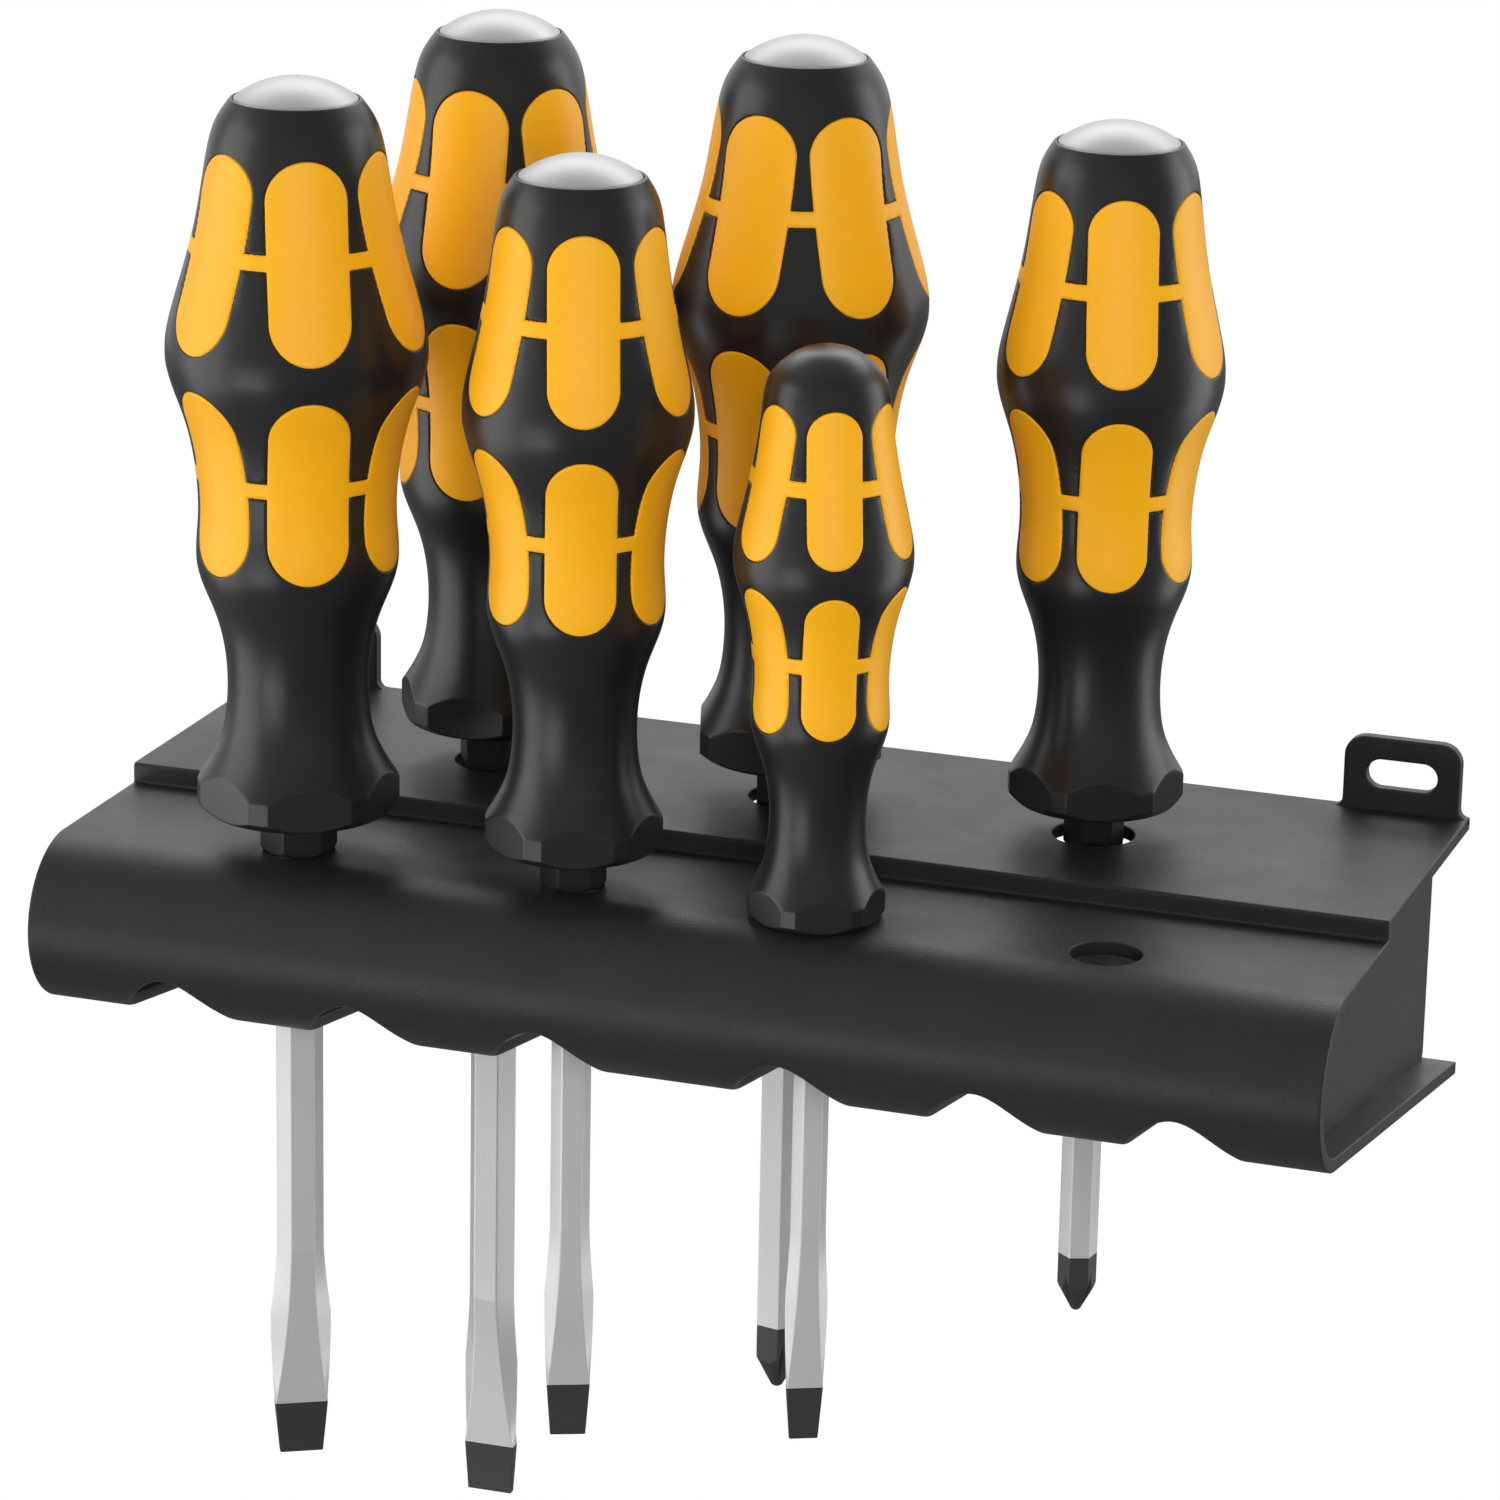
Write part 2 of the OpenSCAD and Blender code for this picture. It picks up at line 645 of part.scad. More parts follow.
module cross_small_blade() {
    at_cross_small() cross_blade(cross_small, core_top(medium_length, true), thin_bar);
}
module cross_small_bolster() {
    at_cross_small() bolster(small_bolster, thin_bar, small_bolster_rise, wall);
}
module cross_small_core() { at_cross_small() grip_core(medium_length, medium_belly, thin_bar, true); }
module cross_small_skin() {
    at_cross_small() grip_skin(medium_length, medium_belly, thin_bar, medium_cap, true);
}
module cross_small_cap() { at_cross_small() strike_cap(medium_length, medium_cap); }

rack();
slotted_long_blade();
slotted_long_bolster();
slotted_long_core();
slotted_long_skin();
slotted_long_cap();
slotted_middle_blade();
slotted_middle_bolster();
slotted_middle_core();
slotted_middle_skin();
slotted_middle_cap();
slotted_short_blade();
slotted_short_bolster();
slotted_short_core();
slotted_short_skin();
slotted_short_cap();
slotted_fine_blade();
slotted_fine_core();
slotted_fine_skin();
cross_large_blade();
cross_large_bolster();
cross_large_core();
cross_large_skin();
cross_large_cap();
cross_small_blade();
cross_small_bolster();
cross_small_core();
cross_small_skin();
cross_small_cap();
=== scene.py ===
"""Six striking-cap screwdrivers standing in a moulded wall rack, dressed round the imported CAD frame.

Every length is in metres in the row frame: X runs along the rack, +Y is into the wall, +Z is up.
"""
import logging
import math
from dataclasses import dataclass, field
from enum import Enum
from typing import Callable, Sequence

import bpy
import numpy as np
from mathutils import Matrix, Vector
from mathutils.geometry import delaunay_2d_cdt


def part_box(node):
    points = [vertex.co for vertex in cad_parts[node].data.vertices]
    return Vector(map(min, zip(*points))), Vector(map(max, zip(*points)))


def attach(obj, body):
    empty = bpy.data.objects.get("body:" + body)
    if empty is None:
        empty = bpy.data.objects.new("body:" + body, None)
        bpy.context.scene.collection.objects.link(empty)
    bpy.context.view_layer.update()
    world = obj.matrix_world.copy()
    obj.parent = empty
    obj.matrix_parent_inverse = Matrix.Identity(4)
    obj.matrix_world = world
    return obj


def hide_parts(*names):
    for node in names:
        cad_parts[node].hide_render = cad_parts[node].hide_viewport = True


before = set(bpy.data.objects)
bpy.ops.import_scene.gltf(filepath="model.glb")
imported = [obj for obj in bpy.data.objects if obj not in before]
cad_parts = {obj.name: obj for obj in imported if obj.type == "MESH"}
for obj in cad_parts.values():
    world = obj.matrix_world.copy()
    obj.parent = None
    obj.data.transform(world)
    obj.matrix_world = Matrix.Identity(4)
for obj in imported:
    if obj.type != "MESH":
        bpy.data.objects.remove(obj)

Array = np.ndarray
Place = Callable[[Array, Array], Array]

MM = 0.001
BLACK_STEP = 0.01 * MM
LOG = logging.getLogger("driver_set")


# Shared geometry


@dataclass
class Surface:
    """A triangle mesh held as arrays, with one finish number for each triangle.

    Args:
        points: corner positions, one row each.
        triangles: three corner numbers for each face, seen anticlockwise from outside.
        finish: which of the object's finishes each face takes.
    """

    points: Array
    triangles: Array
    finish: Array | None = None

    def joined(self, other: "Surface") -> "Surface":
        """Returns one surface made of this one and another, which stay separate shells.

        Args:
            other: the surface to add.

        Returns:
            The joined surface, with the finish numbers of both.
        """
        mine = np.zeros(len(self.triangles), int) if self.finish is None else self.finish
        theirs = np.zeros(len(other.triangles), int) if other.finish is None else other.finish
        return Surface(
            np.vstack([self.points, other.points]),
            np.vstack([self.triangles, other.triangles + len(self.points)]),
            np.concatenate([mine, theirs]),
        )

    def blackened(self, below: float) -> "Surface":
        """Returns the surface with its second finish on the faces that lie below a height."""
        self.finish = (self.points[self.triangles].mean(1)[:, 2] < below + BLACK_STEP / 2).astype(int)
        return self

    def to_object(self, name: str, finishes: Sequence[bpy.types.Material],
                  crease: float = 40.0) -> bpy.types.Object:
        """Makes a Blender object that is smooth apart from edges sharper than the crease angle.

        Args:
            name: name of the object and its mesh.
            finishes: materials in the order of the finish numbers.
            crease: angle in degrees above which an edge stays sharp.

        Returns:
            The object, at the origin, linked to the scene.
        """
        mesh = bpy.data.meshes.new(name)
        count = len(self.triangles)
        mesh.vertices.add(len(self.points))
        mesh.vertices.foreach_set("co", np.ascontiguousarray(self.points, np.float32).ravel())
        mesh.loops.add(count * 3)
        mesh.loops.foreach_set("vertex_index", np.ascontiguousarray(self.triangles, np.int32).ravel())
        mesh.polygons.add(count)
        mesh.polygons.foreach_set("loop_start", np.arange(0, count * 3, 3, dtype=np.int32))
        for finish in finishes:
            mesh.materials.append(finish)
        if self.finish is not None:
            mesh.polygons.foreach_set("material_index", np.ascontiguousarray(self.finish, np.int32))
        mesh.update(calc_edges=True)
        mesh.validate()
        mesh.polygons.foreach_set("use_smooth", np.ones(len(mesh.polygons), bool))
        mesh.set_sharp_from_angle(angle=math.radians(crease))
        made = bpy.data.objects.new(name, mesh)
        bpy.context.scene.collection.objects.link(made)
        weighted = made.modifiers.new("even_shading", "WEIGHTED_NORMAL")
        weighted.mode = "FACE_AREA"
        weighted.keep_sharp = True
        return made


def spline(points: Array, per_span: int) -> Array:
    """Returns a smooth curve through the points, as a natural cubic spline.

    The parameter is the length of the chords. The second derivatives at the points solve the usual
    three-term equations, with zero at both ends.

    Args:
        points: the points that the curve passes through, one row each.
        per_span: how many steps to make between two of them.

    Returns:
        Points on the curve, the last given point included.
    """
    chord = np.linalg.norm(np.diff(points, axis=0), axis=1)
    knots = np.concatenate([[0.0], np.cumsum(chord)])
    size = len(points)
    system = np.eye(size)
    known = np.zeros_like(points)
    inner = np.arange(1, size - 1)
    system[inner, inner - 1] = chord[:-1]
    system[inner, inner] = 2 * (chord[:-1] + chord[1:])
    system[inner, inner + 1] = chord[1:]
    slopes = np.diff(points, axis=0) / chord[:, None]
    known[1:-1] = 6 * np.diff(slopes, axis=0)
    bend = np.linalg.solve(system, known)
    span = np.repeat(np.arange(size - 1), per_span)
    t = knots[span] + np.tile(np.arange(per_span) / per_span, size - 1) * chord[span]
    a, b, h = (knots[span + 1] - t)[:, None], (t - knots[span])[:, None], chord[span][:, None]
    curve = (
        bend[span] * a**3 / (6 * h)
        + bend[span + 1] * b**3 / (6 * h)
        + (points[span] / h - bend[span] * h / 6) * a
        + (points[span + 1] / h - bend[span + 1] * h / 6) * b
    )
    return np.vstack([curve, points[-1:]])


def circle(turn: Array) -> Array:
    """Returns the points of the unit circle at the given angles."""
    return np.column_stack([np.cos(turn), np.sin(turn)])


def eased(share: Array, start: Array, corner: Array, end: Array) -> Array:
    """Returns the quadratic curve from start to end that the corner pulls: (1-t)^2 S + 2t(1-t) C + t^2 E."""
    return (1 - share) ** 2 * start + 2 * share * (1 - share) * corner + share**2 * end


def rounded(path: Array, radii: Sequence[float], steps: int = 5) -> Array:
    """Returns a path whose corners are eased by short curves.

    Each corner P with reach t is replaced by the quadratic curve from P - t*u to P + t*v with its
    control point at P, where u and v are the directions in and out.

    Args:
        path: corner points, one row each.
        radii: reach of the ease at each point, 0 for none; the ends have none.
        steps: number of steps in each ease.

    Returns:
        The eased path.
    """
    pieces = []
    share = np.linspace(0, 1, steps + 1)[:, None]
    for i, point in enumerate(path):
        reach = radii[i] if 0 < i < len(path) - 1 else 0
        if reach <= 0:
            pieces.append(point[None])
            continue
        back, ahead = path[i - 1] - point, path[i + 1] - point
        start = point + back / np.linalg.norm(back) * reach
        end = point + ahead / np.linalg.norm(ahead) * reach
        pieces.append(eased(share, start, point, end))
    return np.vstack(pieces)


def arc_length(path: Array) -> Array:
    """Returns the distance along a path at each of its points."""
    return np.concatenate([[0.0], np.cumsum(np.linalg.norm(np.diff(path, axis=0), axis=1))])


def rows_along(path: Array, coarse: float, bend: float) -> Array:
    """Returns the places along a path where rows of points go: closer together where it bends.

    The count grows by one for each coarse length and for each bend angle turned.

    Args:
        path: points of the path.
        coarse: largest distance between rows.
        bend: largest turn between rows, in radians.

    Returns:
        Distances along the path, from 0 to its length.
    """
    along = arc_length(path)
    steps = np.diff(path, axis=0)
    heading = np.unwrap(np.arctan2(steps[:, 1], steps[:, 0]))
    turn = np.zeros(len(path))
    turn[1:-1] = np.abs(np.diff(heading))
    turn = (turn + np.roll(turn, -1)) / 2
    need = np.diff(along) / coarse + turn[:-1] / bend
    level = np.concatenate([[0.0], np.cumsum(need)])
    count = max(2, int(math.ceil(level[-1])))
    return np.interp(np.linspace(0, level[-1], count + 1), level, along)


def distance_to(points: Array, chains: Sequence[Array]) -> Array:
    """Returns how far each plane point is from the nearest of some polylines.

    For each short segment the nearest point is its start plus the clamped share of its length.

    Args:
        points: plane points, one row each.
        chains: polylines, each an array of plane points.

    Returns:
        One distance for each point.
    """
    start = np.vstack([c[:-1] for c in chains])
    leg = np.vstack([np.diff(c, axis=0) for c in chains])
    square = np.maximum((leg**2).sum(1), 1e-18)
    best = np.full(len(points), np.inf)
    for block in np.array_split(np.arange(len(start)), max(1, len(start) // 64)):
        away = points[:, None] - start[None, block]
        share = np.clip((away * leg[block]).sum(2) / square[block], 0, 1)
        gap = away - share[..., None] * leg[block]
        best = np.minimum(best, np.sqrt((gap**2).sum(2)).min(1))
    return best


def triangulate(free: Array, chains: Sequence[Array]) -> tuple[Array, Array]:
    """Returns a Delaunay triangulation of plane points in which the chains stay as edges.

    Args:
        free: plane points with no edges of their own.
        chains: polylines that no triangle crosses.

    Returns:
        The plane points and the triangles, turned anticlockwise.
    """
    spots, edges, start = [free], [], len(free)
    for chain in chains:
        spots.append(chain)
        numbers = np.arange(start, start + len(chain))
        edges.append(np.column_stack([numbers[:-1], numbers[1:]]))
        start += len(chain)
    spots = np.vstack(spots)
    made = delaunay_2d_cdt([Vector(p) for p in spots.tolist()], np.vstack(edges).tolist(), [], 0, 1e-7)
    plane = np.array([tuple(v) for v in made[0]])
    triangles = np.array(made[2], int)
    a, b, c = (plane[triangles[:, i]] for i in range(3))
    area = (b[:, 0] - a[:, 0]) * (c[:, 1] - a[:, 1]) - (b[:, 1] - a[:, 1]) * (c[:, 0] - a[:, 0])
    triangles[area < 0] = triangles[area < 0][:, ::-1]
    return plane, triangles[np.abs(area) > 1e-12]


def closed_shell(outer: Array, inner: Array, triangles: Array) -> Surface:
    """Returns a closed surface from two sheets with the same triangles and a wall round every edge.

    An edge is on the rim where no neighbouring face runs along it the other way. The wall there is
    the quad between the outer and the inner edge.

    Args:
        outer: corner positions of the outer sheet.
        inner: corner positions of the inner sheet, in the same order.
        triangles: faces of the outer sheet, seen anticlockwise from outside.

    Returns:
        The closed surface, without unused points.
    """
    count = len(outer)
    edges = np.vstack([triangles[:, [0, 1]], triangles[:, [1, 2]], triangles[:, [2, 0]]])
    there, back = edges[:, 0] * count + edges[:, 1], edges[:, 1] * count + edges[:, 0]
    a, b = edges[~np.isin(there, back)].T
    walls = np.vstack([np.column_stack([b, a, a + count]), np.column_stack([b, a + count, b + count])])
    faces = np.vstack([triangles, triangles[:, ::-1] + count, walls])
    used, faces = np.unique(faces, return_inverse=True)
    return Surface(np.vstack([outer, inner])[used], faces.reshape(-1, 3))


def eased_depth(distance: Array, radius: float) -> Array:
    """Returns how far a face drops near its edge: a quarter circle of the given radius."""
    near = np.clip(radius - distance, 0, radius)
    return radius - np.sqrt(np.maximum(radius**2 - near**2, 0))


def soft_min(first: Array, second: Array, width: float) -> Array:
    """Returns the lower of two values, with their crossing rounded over the given width.

    Where they differ by less than the width, the minimum drops by (width - difference)^2 / (4 width).
    """
    near = np.maximum(width - np.abs(first - second), 0)
    return np.minimum(first, second) - near**2 / (4 * width)


def turns(count: int) -> Array:
    """Returns a number of angles, spread evenly over one turn."""
    return np.linspace(0, 2 * np.pi, count + 1)[:-1]


def polar_solid(radius: Array, heights: Array, angles: Array) -> Surface:
    """Returns a closed solid round the Z axis whose radius is given for each height and angle.

    Args:
        radius: one row for each height and one column for each angle, or what spreads to that.
        heights: heights of the rows, rising.
        angles: angles of the columns, rising over one turn.

    Returns:
        The side grid with a fan of triangles at each end.
    """
    rows, columns = shape = len(heights), len(angles)
    radius, level = np.broadcast_to(radius, shape), np.broadcast_to(heights[:, None], shape)
    ring = np.stack([radius * np.cos(angles), radius * np.sin(angles), level], 2)
    ends = np.array([[0, 0, heights[0]], [0, 0, heights[-1]]])
    points = np.vstack([ring.reshape(-1, 3), ends])
    i, j = np.meshgrid(np.arange(rows - 1), np.arange(columns), indexing="ij")
    a, b = (i * columns + j).ravel(), (i * columns + (j + 1) % columns).ravel()
    c, d = a + columns, b + columns
    side = np.vstack([np.column_stack([a, b, d]), np.column_stack([a, d, c])])
    around = np.arange(columns)
    onward = (around + 1) % columns
    low = np.column_stack([np.full(columns, rows * columns), onward, around])
    shift = (rows - 1) * columns
    high = np.column_stack([np.full(columns, rows * columns + 1), around + shift, onward + shift])
    return Surface(points, np.vstack([side, low, high]))


def hexagon_radius(angles: Array, across: float, ease: float) -> Array:
    """Returns the radius of a hexagon with eased corners, the first corner on the X axis.

    Each pair of flats gives across / 2 / |cos(angle - flat)|, and the three are joined by soft_min.

    Args:
        angles: angles round the axis, in radians.
        across: width across flats.
        ease: width over which neighbouring flats are rounded into one another.

    Returns:
        One radius for each angle.
    """
    result = None
    for flat in np.radians([30, 90, 150]):
        radius = across / 2 / np.maximum(np.abs(np.cos(angles - flat)), 0.2)
        result = radius if result is None else soft_min(result, radius, ease)
    return result


@dataclass(frozen=True)
class Stand:
    """Where a driver stands: its axis, the height of its handle base and its turn in degrees."""

    x: float
    y: float
    z: float
    turn: float

    def place(self, points: Array) -> Array:
        """Returns points given in the driver's own frame, moved to its place in the row frame.

        Args:
            points: points in the driver's own frame, one row each.

        Returns:
            The moved points.
        """
        c, s = math.cos(math.radians(self.turn)), math.sin(math.radians(self.turn))
        turned = np.column_stack([
            points[:, 0] * c - points[:, 1] * s, points[:, 0] * s + points[:, 1] * c, points[:, 2]
        ])
        return turned + np.array([self.x, self.y, self.z])


# Finishes


class Slot(Enum):
    """Material slots of the record."""

    RACK = "rack_plastic"
    BLACK = "grip_black"
    YELLOW = "grip_yellow"
    BLADE = "blade_steel"
    BOLSTER = "bolster_steel"
    CAP = "cap_steel"


@dataclass(frozen=True)
class Graph:
    """A node tree, with short ways to add nodes to it and to join them."""

    tree: bpy.types.NodeTree

    def add(self, kind: str, values: dict[str | int, object] | None = None,
            **settings: object) -> bpy.types.Node:
        """Adds a shader node of a kind, with values for its inputs and settings of its own.

        Args:
            kind: end of the node type's name.
            values: values for its inputs, by name or number.
            settings: values for its own properties.

        Returns:
            The new node.
        """
        node = self.tree.nodes.new(f"ShaderNode{kind}")
        for name, value in settings.items():
            setattr(node, name, value)
        for name, value in (values or {}).items():
            node.inputs[name].default_value = value
        return node

    def join(self, *links: tuple[bpy.types.Node, str, bpy.types.Node, str | int]) -> None:
        """Joins outputs to inputs, each link as node, output, node and input."""
        for source, output, target, socket in links:
            self.tree.links.new(source.outputs[output], target.inputs[socket])


@dataclass(frozen=True)
class Finish:
    """A moulded or metal finish with grain and slight changes of tone.

    Args:
        name: name of the material.
        colour: linear base colour.
        roughness: mean roughness.
        metallic: 1 for bare metal.
        grain: size of the surface grain in metres.
        relief: height of the grain in metres.
        swing: how far roughness and tone wander, as a share.
        specular: specular level of the shader.
        streaks: stretch of the grain along Z, 1 for none.
        patch: size of the slow changes in tone, in metres.
        noise_range: noise values at which roughness and tone reach their ends.
        tone_share: change of tone for each unit of swing.
    """

    name: str
    colour: tuple[float, float, float]
    roughness: float
    metallic: float = 0.0
    grain: float = 0.0004
    relief: float = 0.00001
    swing: float = 0.1
    specular: float = 0.5
    streaks: float = 1.0
    patch: float = 0.012
    noise_range: tuple[float, float] = (0.3, 0.7)
    tone_share: float = 0.3

    def make(self) -> bpy.types.Material:
        """Returns the node material of this finish, read from Object coordinates.

        Returns:
            The material.
        """
        material = bpy.data.materials.new(self.name)
        material.use_nodes = True
        graph = Graph(material.node_tree)
        shader = graph.tree.nodes["Principled BSDF"]
        shader.inputs["Metallic"].default_value = self.metallic
        shader.inputs["Specular IOR Level"].default_value = self.specular
        where = graph.add("TexCoord")
        stretch = graph.add("Mapping", {"Scale": (1, 1, 1 / self.streaks)})
        fine = graph.add("TexNoise", {"Scale": 1 / self.grain, "Detail": 3})
        broad = graph.add("TexNoise", {"Scale": 1 / self.patch, "Detail": 2})
        mixed = graph.add("Mix", {"Factor": 0.5})
        low, high = self.noise_range
        rough = graph.add("MapRange", {
            "To Min": self.roughness * (1 - self.swing), "To Max": self.roughness * (1 + self.swing),
            "From Min": low, "From Max": high})
        tone = graph.add("ValToRGB")
        for element, position, side in zip(tone.color_ramp.elements, self.noise_range, (-1, 1)):
            change = 1 + side * self.tone_share * self.swing
            element.position = position
            element.color = (*[min(1, v * change) for v in self.colour], 1)
        bump = graph.add("Bump", {"Strength": 1.0, "Distance": self.relief})
        graph.join(
            (where, "Object", stretch, "Vector"), (stretch, "Vector", fine, "Vector"),
            (where, "Object", broad, "Vector"), (fine, "Fac", mixed, "A"), (broad, "Fac", mixed, "B"),
            (mixed, "Result", rough, "Value"), (rough, "Result", shader, "Roughness"),
            (mixed, "Result", tone, "Fac"), (tone, "Color", shader, "Base Color"),
            (fine, "Fac", bump, "Height"), (bump, "Normal", shader, "Normal"))
        return material


@dataclass
class Paintbox:
    """All finishes of the set, made once."""

    rack: bpy.types.Material = field(default_factory=Finish(
        "rack_moulded_black", (0.0185, 0.018, 0.0178), 0.42, grain=0.00032, relief=0.00004, swing=0.25,
        specular=0.31).make)
    black: bpy.types.Material = field(default_factory=Finish(
        "handle_black", (0.0105, 0.0105, 0.0107), 0.34, grain=0.0005, relief=0.000006).make)
    yellow: bpy.types.Material = field(default_factory=Finish(
        "handle_yellow", (0.93, 0.44, 0.006), 0.42, specular=0.35, grain=0.0005, relief=0.000006).make)
    steel: bpy.types.Material = field(default_factory=Finish(
        "blade_satin_steel", (0.57, 0.57, 0.565), 0.42, metallic=0.4, grain=0.00025, relief=0.0000025,
        swing=0.12, streaks=6).make)
    burnt: bpy.types.Material = field(default_factory=Finish(
        "blade_black_end", (0.045, 0.044, 0.043), 0.5, metallic=0.4, grain=0.0003, relief=0.000006).make)
    bolster: bpy.types.Material = field(default_factory=Finish(
        "bolster_black", (0.01, 0.01, 0.0105), 0.38, metallic=0.2, grain=0.0004, relief=0.000005).make)
    cap: bpy.types.Material = field(default_factory=Finish(
        "cap_blasted_steel", (0.42, 0.42, 0.42), 0.45, metallic=0.5, grain=0.0005, relief=0.00002,
        swing=0.16).make)


# Handles


GRIP_OUTLINE = [
    (0.028, 0.84), (0.042, 0.786), (0.056, 0.733), (0.072, 0.677), (0.0975, 0.607), (0.148, 0.55),
    (0.215, 0.555), (0.28, 0.643), (0.342, 0.768), (0.405, 0.761), (0.4766, 0.778), (0.55, 0.87),
    (0.6277, 1.0),
]
SHOULDER_OUTLINE = [(0.7, 0.87), (0.808, 0.538), (0.9026, 0.351), (0.945, 0.205)]
DOME_OUTLINE = [(0.97, 0.5), (0.99, 0.3), (1.0, 0.0)]
CREASE_STEPS = np.array([-0.3, -0.15, -0.06, 0.06, 0.15, 0.3]) * MM
WINDOW_STEPS = np.array([-0.5, -0.28, -0.16, -0.09, 0.05, 0.12, 0.24, 0.46]) * MM


@dataclass
class Handle:
    """A waisted grip: a black skin with windows, and the yellow core that fills them.

    Args:
        length: height of the handle with its cap.
        belly: largest diameter.
        bore: radius of the hole for the blade.
        cap: rim diameter of the cap, or 0 where the handle ends in a dome.
        skin: thickness of the black skin.
        parting: width of the line between skin and pads.
        edge_ease: radius of the edges on both sides of that line.
        pad_share: width of a pad, as a share of the belly's radius.
        pad_rows: lower and upper end of each row of pads, as shares of the length.
        band: height of the bands that join the pads of a row.
        dome: height of the cap's dome.
        crown: radius of the handle under a cap.
        dome_share: radius where a closed dome starts, as a share of the belly's radius.
        core_from: lower end of the inner body, as a share of the length.
        sectors: number of pads in a row.
        base_share: radius at the foot's lower end, as a share of the belly's radius.
        bevel_slope: rise of the bottom bevel's radius, as shares of belly radius and length.
        flat_share: radius to the edges of the foot, as a share of the belly's radius.
        wide_angle: half angle of a wide flat in degrees.
        narrow_angle: half angle of a narrow flat in degrees.
        foot_top: upper end of the fine rows of the foot, as a share of the length.
        foot_ease: width over which neighbouring flats are rounded into one another.
        foot_reach: height up to which the flats may cut, as a share of the length.
        pads_from: height above which edges are eased, as a share of the length.
        pads_to: height below which they are.
        fade: distance from the blade's hole within which the skin grows to its thickness.
        roof_drop: distance from the top to the roof inside a handle with a cap.
        core_drop: distance from the top to the inner body's end in such a handle.
        net_share: radius at which the net is as wide as the handle, as a share of the belly's.
    """

    length: float
    belly: float
    bore: float
    cap: float
    skin: float = 2 * MM
    parting: float = 0.04 * MM
    edge_ease: float = 0.22 * MM
    pad_share: float = 0.63
    pad_rows: tuple[tuple[float, float], ...] = ((0.345, 0.6), (0.65, 0.91))
    band: float = 2.2 * MM
    dome: float = 3 * MM
    crown: float = 9.1 * MM
    dome_share: float = 0.55
    core_from: float = 0.2
    sectors: int = 6
    base_share: float = 0.7
    bevel_slope: float = 6.87
    flat_share: float = 0.783
    wide_angle: float = 24
    narrow_angle: float = 6
    foot_top: float = 0.08
    foot_ease: float = 0.14 * MM
    foot_reach: float = 0.12
    pads_from: float = 0.3
    pads_to: float = 0.93
    fade: float = 3 * MM
    roof_drop: float = 4.3 * MM
    core_drop: float = 8 * MM
    net_share: float = 0.8

    def profile(self) -> Array:
        """Returns the outline as radius and height, from the blade's hole over the foot to the crown.

        A natural spline runs through the shared outline. Below it the cone of the bottom bevel rises
        past the flats, which cut both off.

        Returns:
            One row for each point, from the bottom up.
        """
        radius = self.belly / 2 - 0.008 * MM
        end = self.crown / radius if self.cap else self.dome_share
        outline = [(s * self.length, r * radius) for s, r in GRIP_OUTLINE]
        outline += [(s * self.length, (end + (1 - end) * r) * radius) for s, r in SHOULDER_OUTLINE]
        if self.cap:
            outline.append((self.length - self.dome, self.crown))
        else:
            outline += [(s * self.length, r * radius) for s, r in DOME_OUTLINE]
        curve = spline(np.array(outline), 10)[:, ::-1]
        curve[:, 0] = np.clip(curve[:, 0], 0, radius)
        start = curve[0, 0]
        cone_top = (start / radius - self.base_share) / self.bevel_slope * self.length
        low = np.array([[self.bore, 0], [self.base_share * radius, 0], [start, cone_top]])
        path = np.vstack([low, curve])
        reach = np.zeros(len(path))
        reach[1] = 0.3 * MM
        if self.cap:
            lip = self.cap / 2 + 0.1 * MM
            rim = self.length - self.dome
            path = np.vstack([path, [[lip, rim], [lip, rim - 1.2 * MM]]])
            reach = np.concatenate([reach, [0.07 * MM, 0]])
            reach[-3] = 0.14 * MM
        return rounded(path, reach)

    def track(self) -> tuple[Array, Array]:
        """Returns the profile and the distance along it of each of its points."""
        path = self.profile()
        return path, arc_length(path)

    def on_profile(self, along: Array) -> tuple[Array, Array]:
        """Returns radius and height on the profile at distances along it."""
        path, lengths = self.track()
        return np.interp(along, lengths, path[:, 0]), np.interp(along, lengths, path[:, 1])

    def flats(self, angle: Array, ease: float) -> Array:
        """Returns the radius of the twelve-sided foot: the lower of a wide and a narrow flat's distance.

        A flat at distance d gives d / cos(angle from its middle).

        Args:
            angle: angles from a pad's middle, in radians.
            ease: width over which neighbouring flats are rounded into one another.

        Returns:
            One radius for each angle.
        """
        rim = self.flat_share * self.belly / 2
        turn = 2 * np.pi / self.sectors
        wide = (angle + turn / 2) % turn - turn / 2
        narrow = angle % turn - turn / 2
        return soft_min(
            rim * math.cos(math.radians(self.wide_angle)) / np.cos(wide),
            rim * math.cos(math.radians(self.narrow_angle)) / np.cos(narrow), ease)

    def outside(self, angle: Array, along: Array) -> tuple[Array, Array]:
        """Returns radius and height on the outside: the profile, cut off by the flats of the foot.

        Args:
            angle: angles from a pad's middle, in radians.
            along: distances along the profile.

        Returns:
            The radii and the heights, one of each for every place.
        """
        radius, height = self.on_profile(along)
        cut = soft_min(radius, self.flats(angle, self.foot_ease), self.foot_ease)
        return np.where(height < self.foot_reach * self.length, cut, radius), height

    def body(self, angle: Array, along: Array, depth: Array) -> Array:
        """Returns points of the outside in the handle's own frame, a pad's middle facing -Y at angle 0.

        Args:
            angle: angle round the axis in radians.
            along: distance along the profile.
            depth: depth below the surface, along the profile's normal.

        Returns:
            One row for each point.
        """
        path, lengths = self.track()
        slope = np.gradient(path, lengths, axis=0)
        slope /= np.maximum(np.linalg.norm(slope, axis=1), 1e-12)[:, None]
        radius, height = self.outside(angle, along)
        radius = radius - depth * np.interp(along, lengths, slope[:, 1])
        height = height + depth * np.interp(along, lengths, slope[:, 0])
        return np.column_stack([radius * np.sin(angle), -radius * np.cos(angle), height])

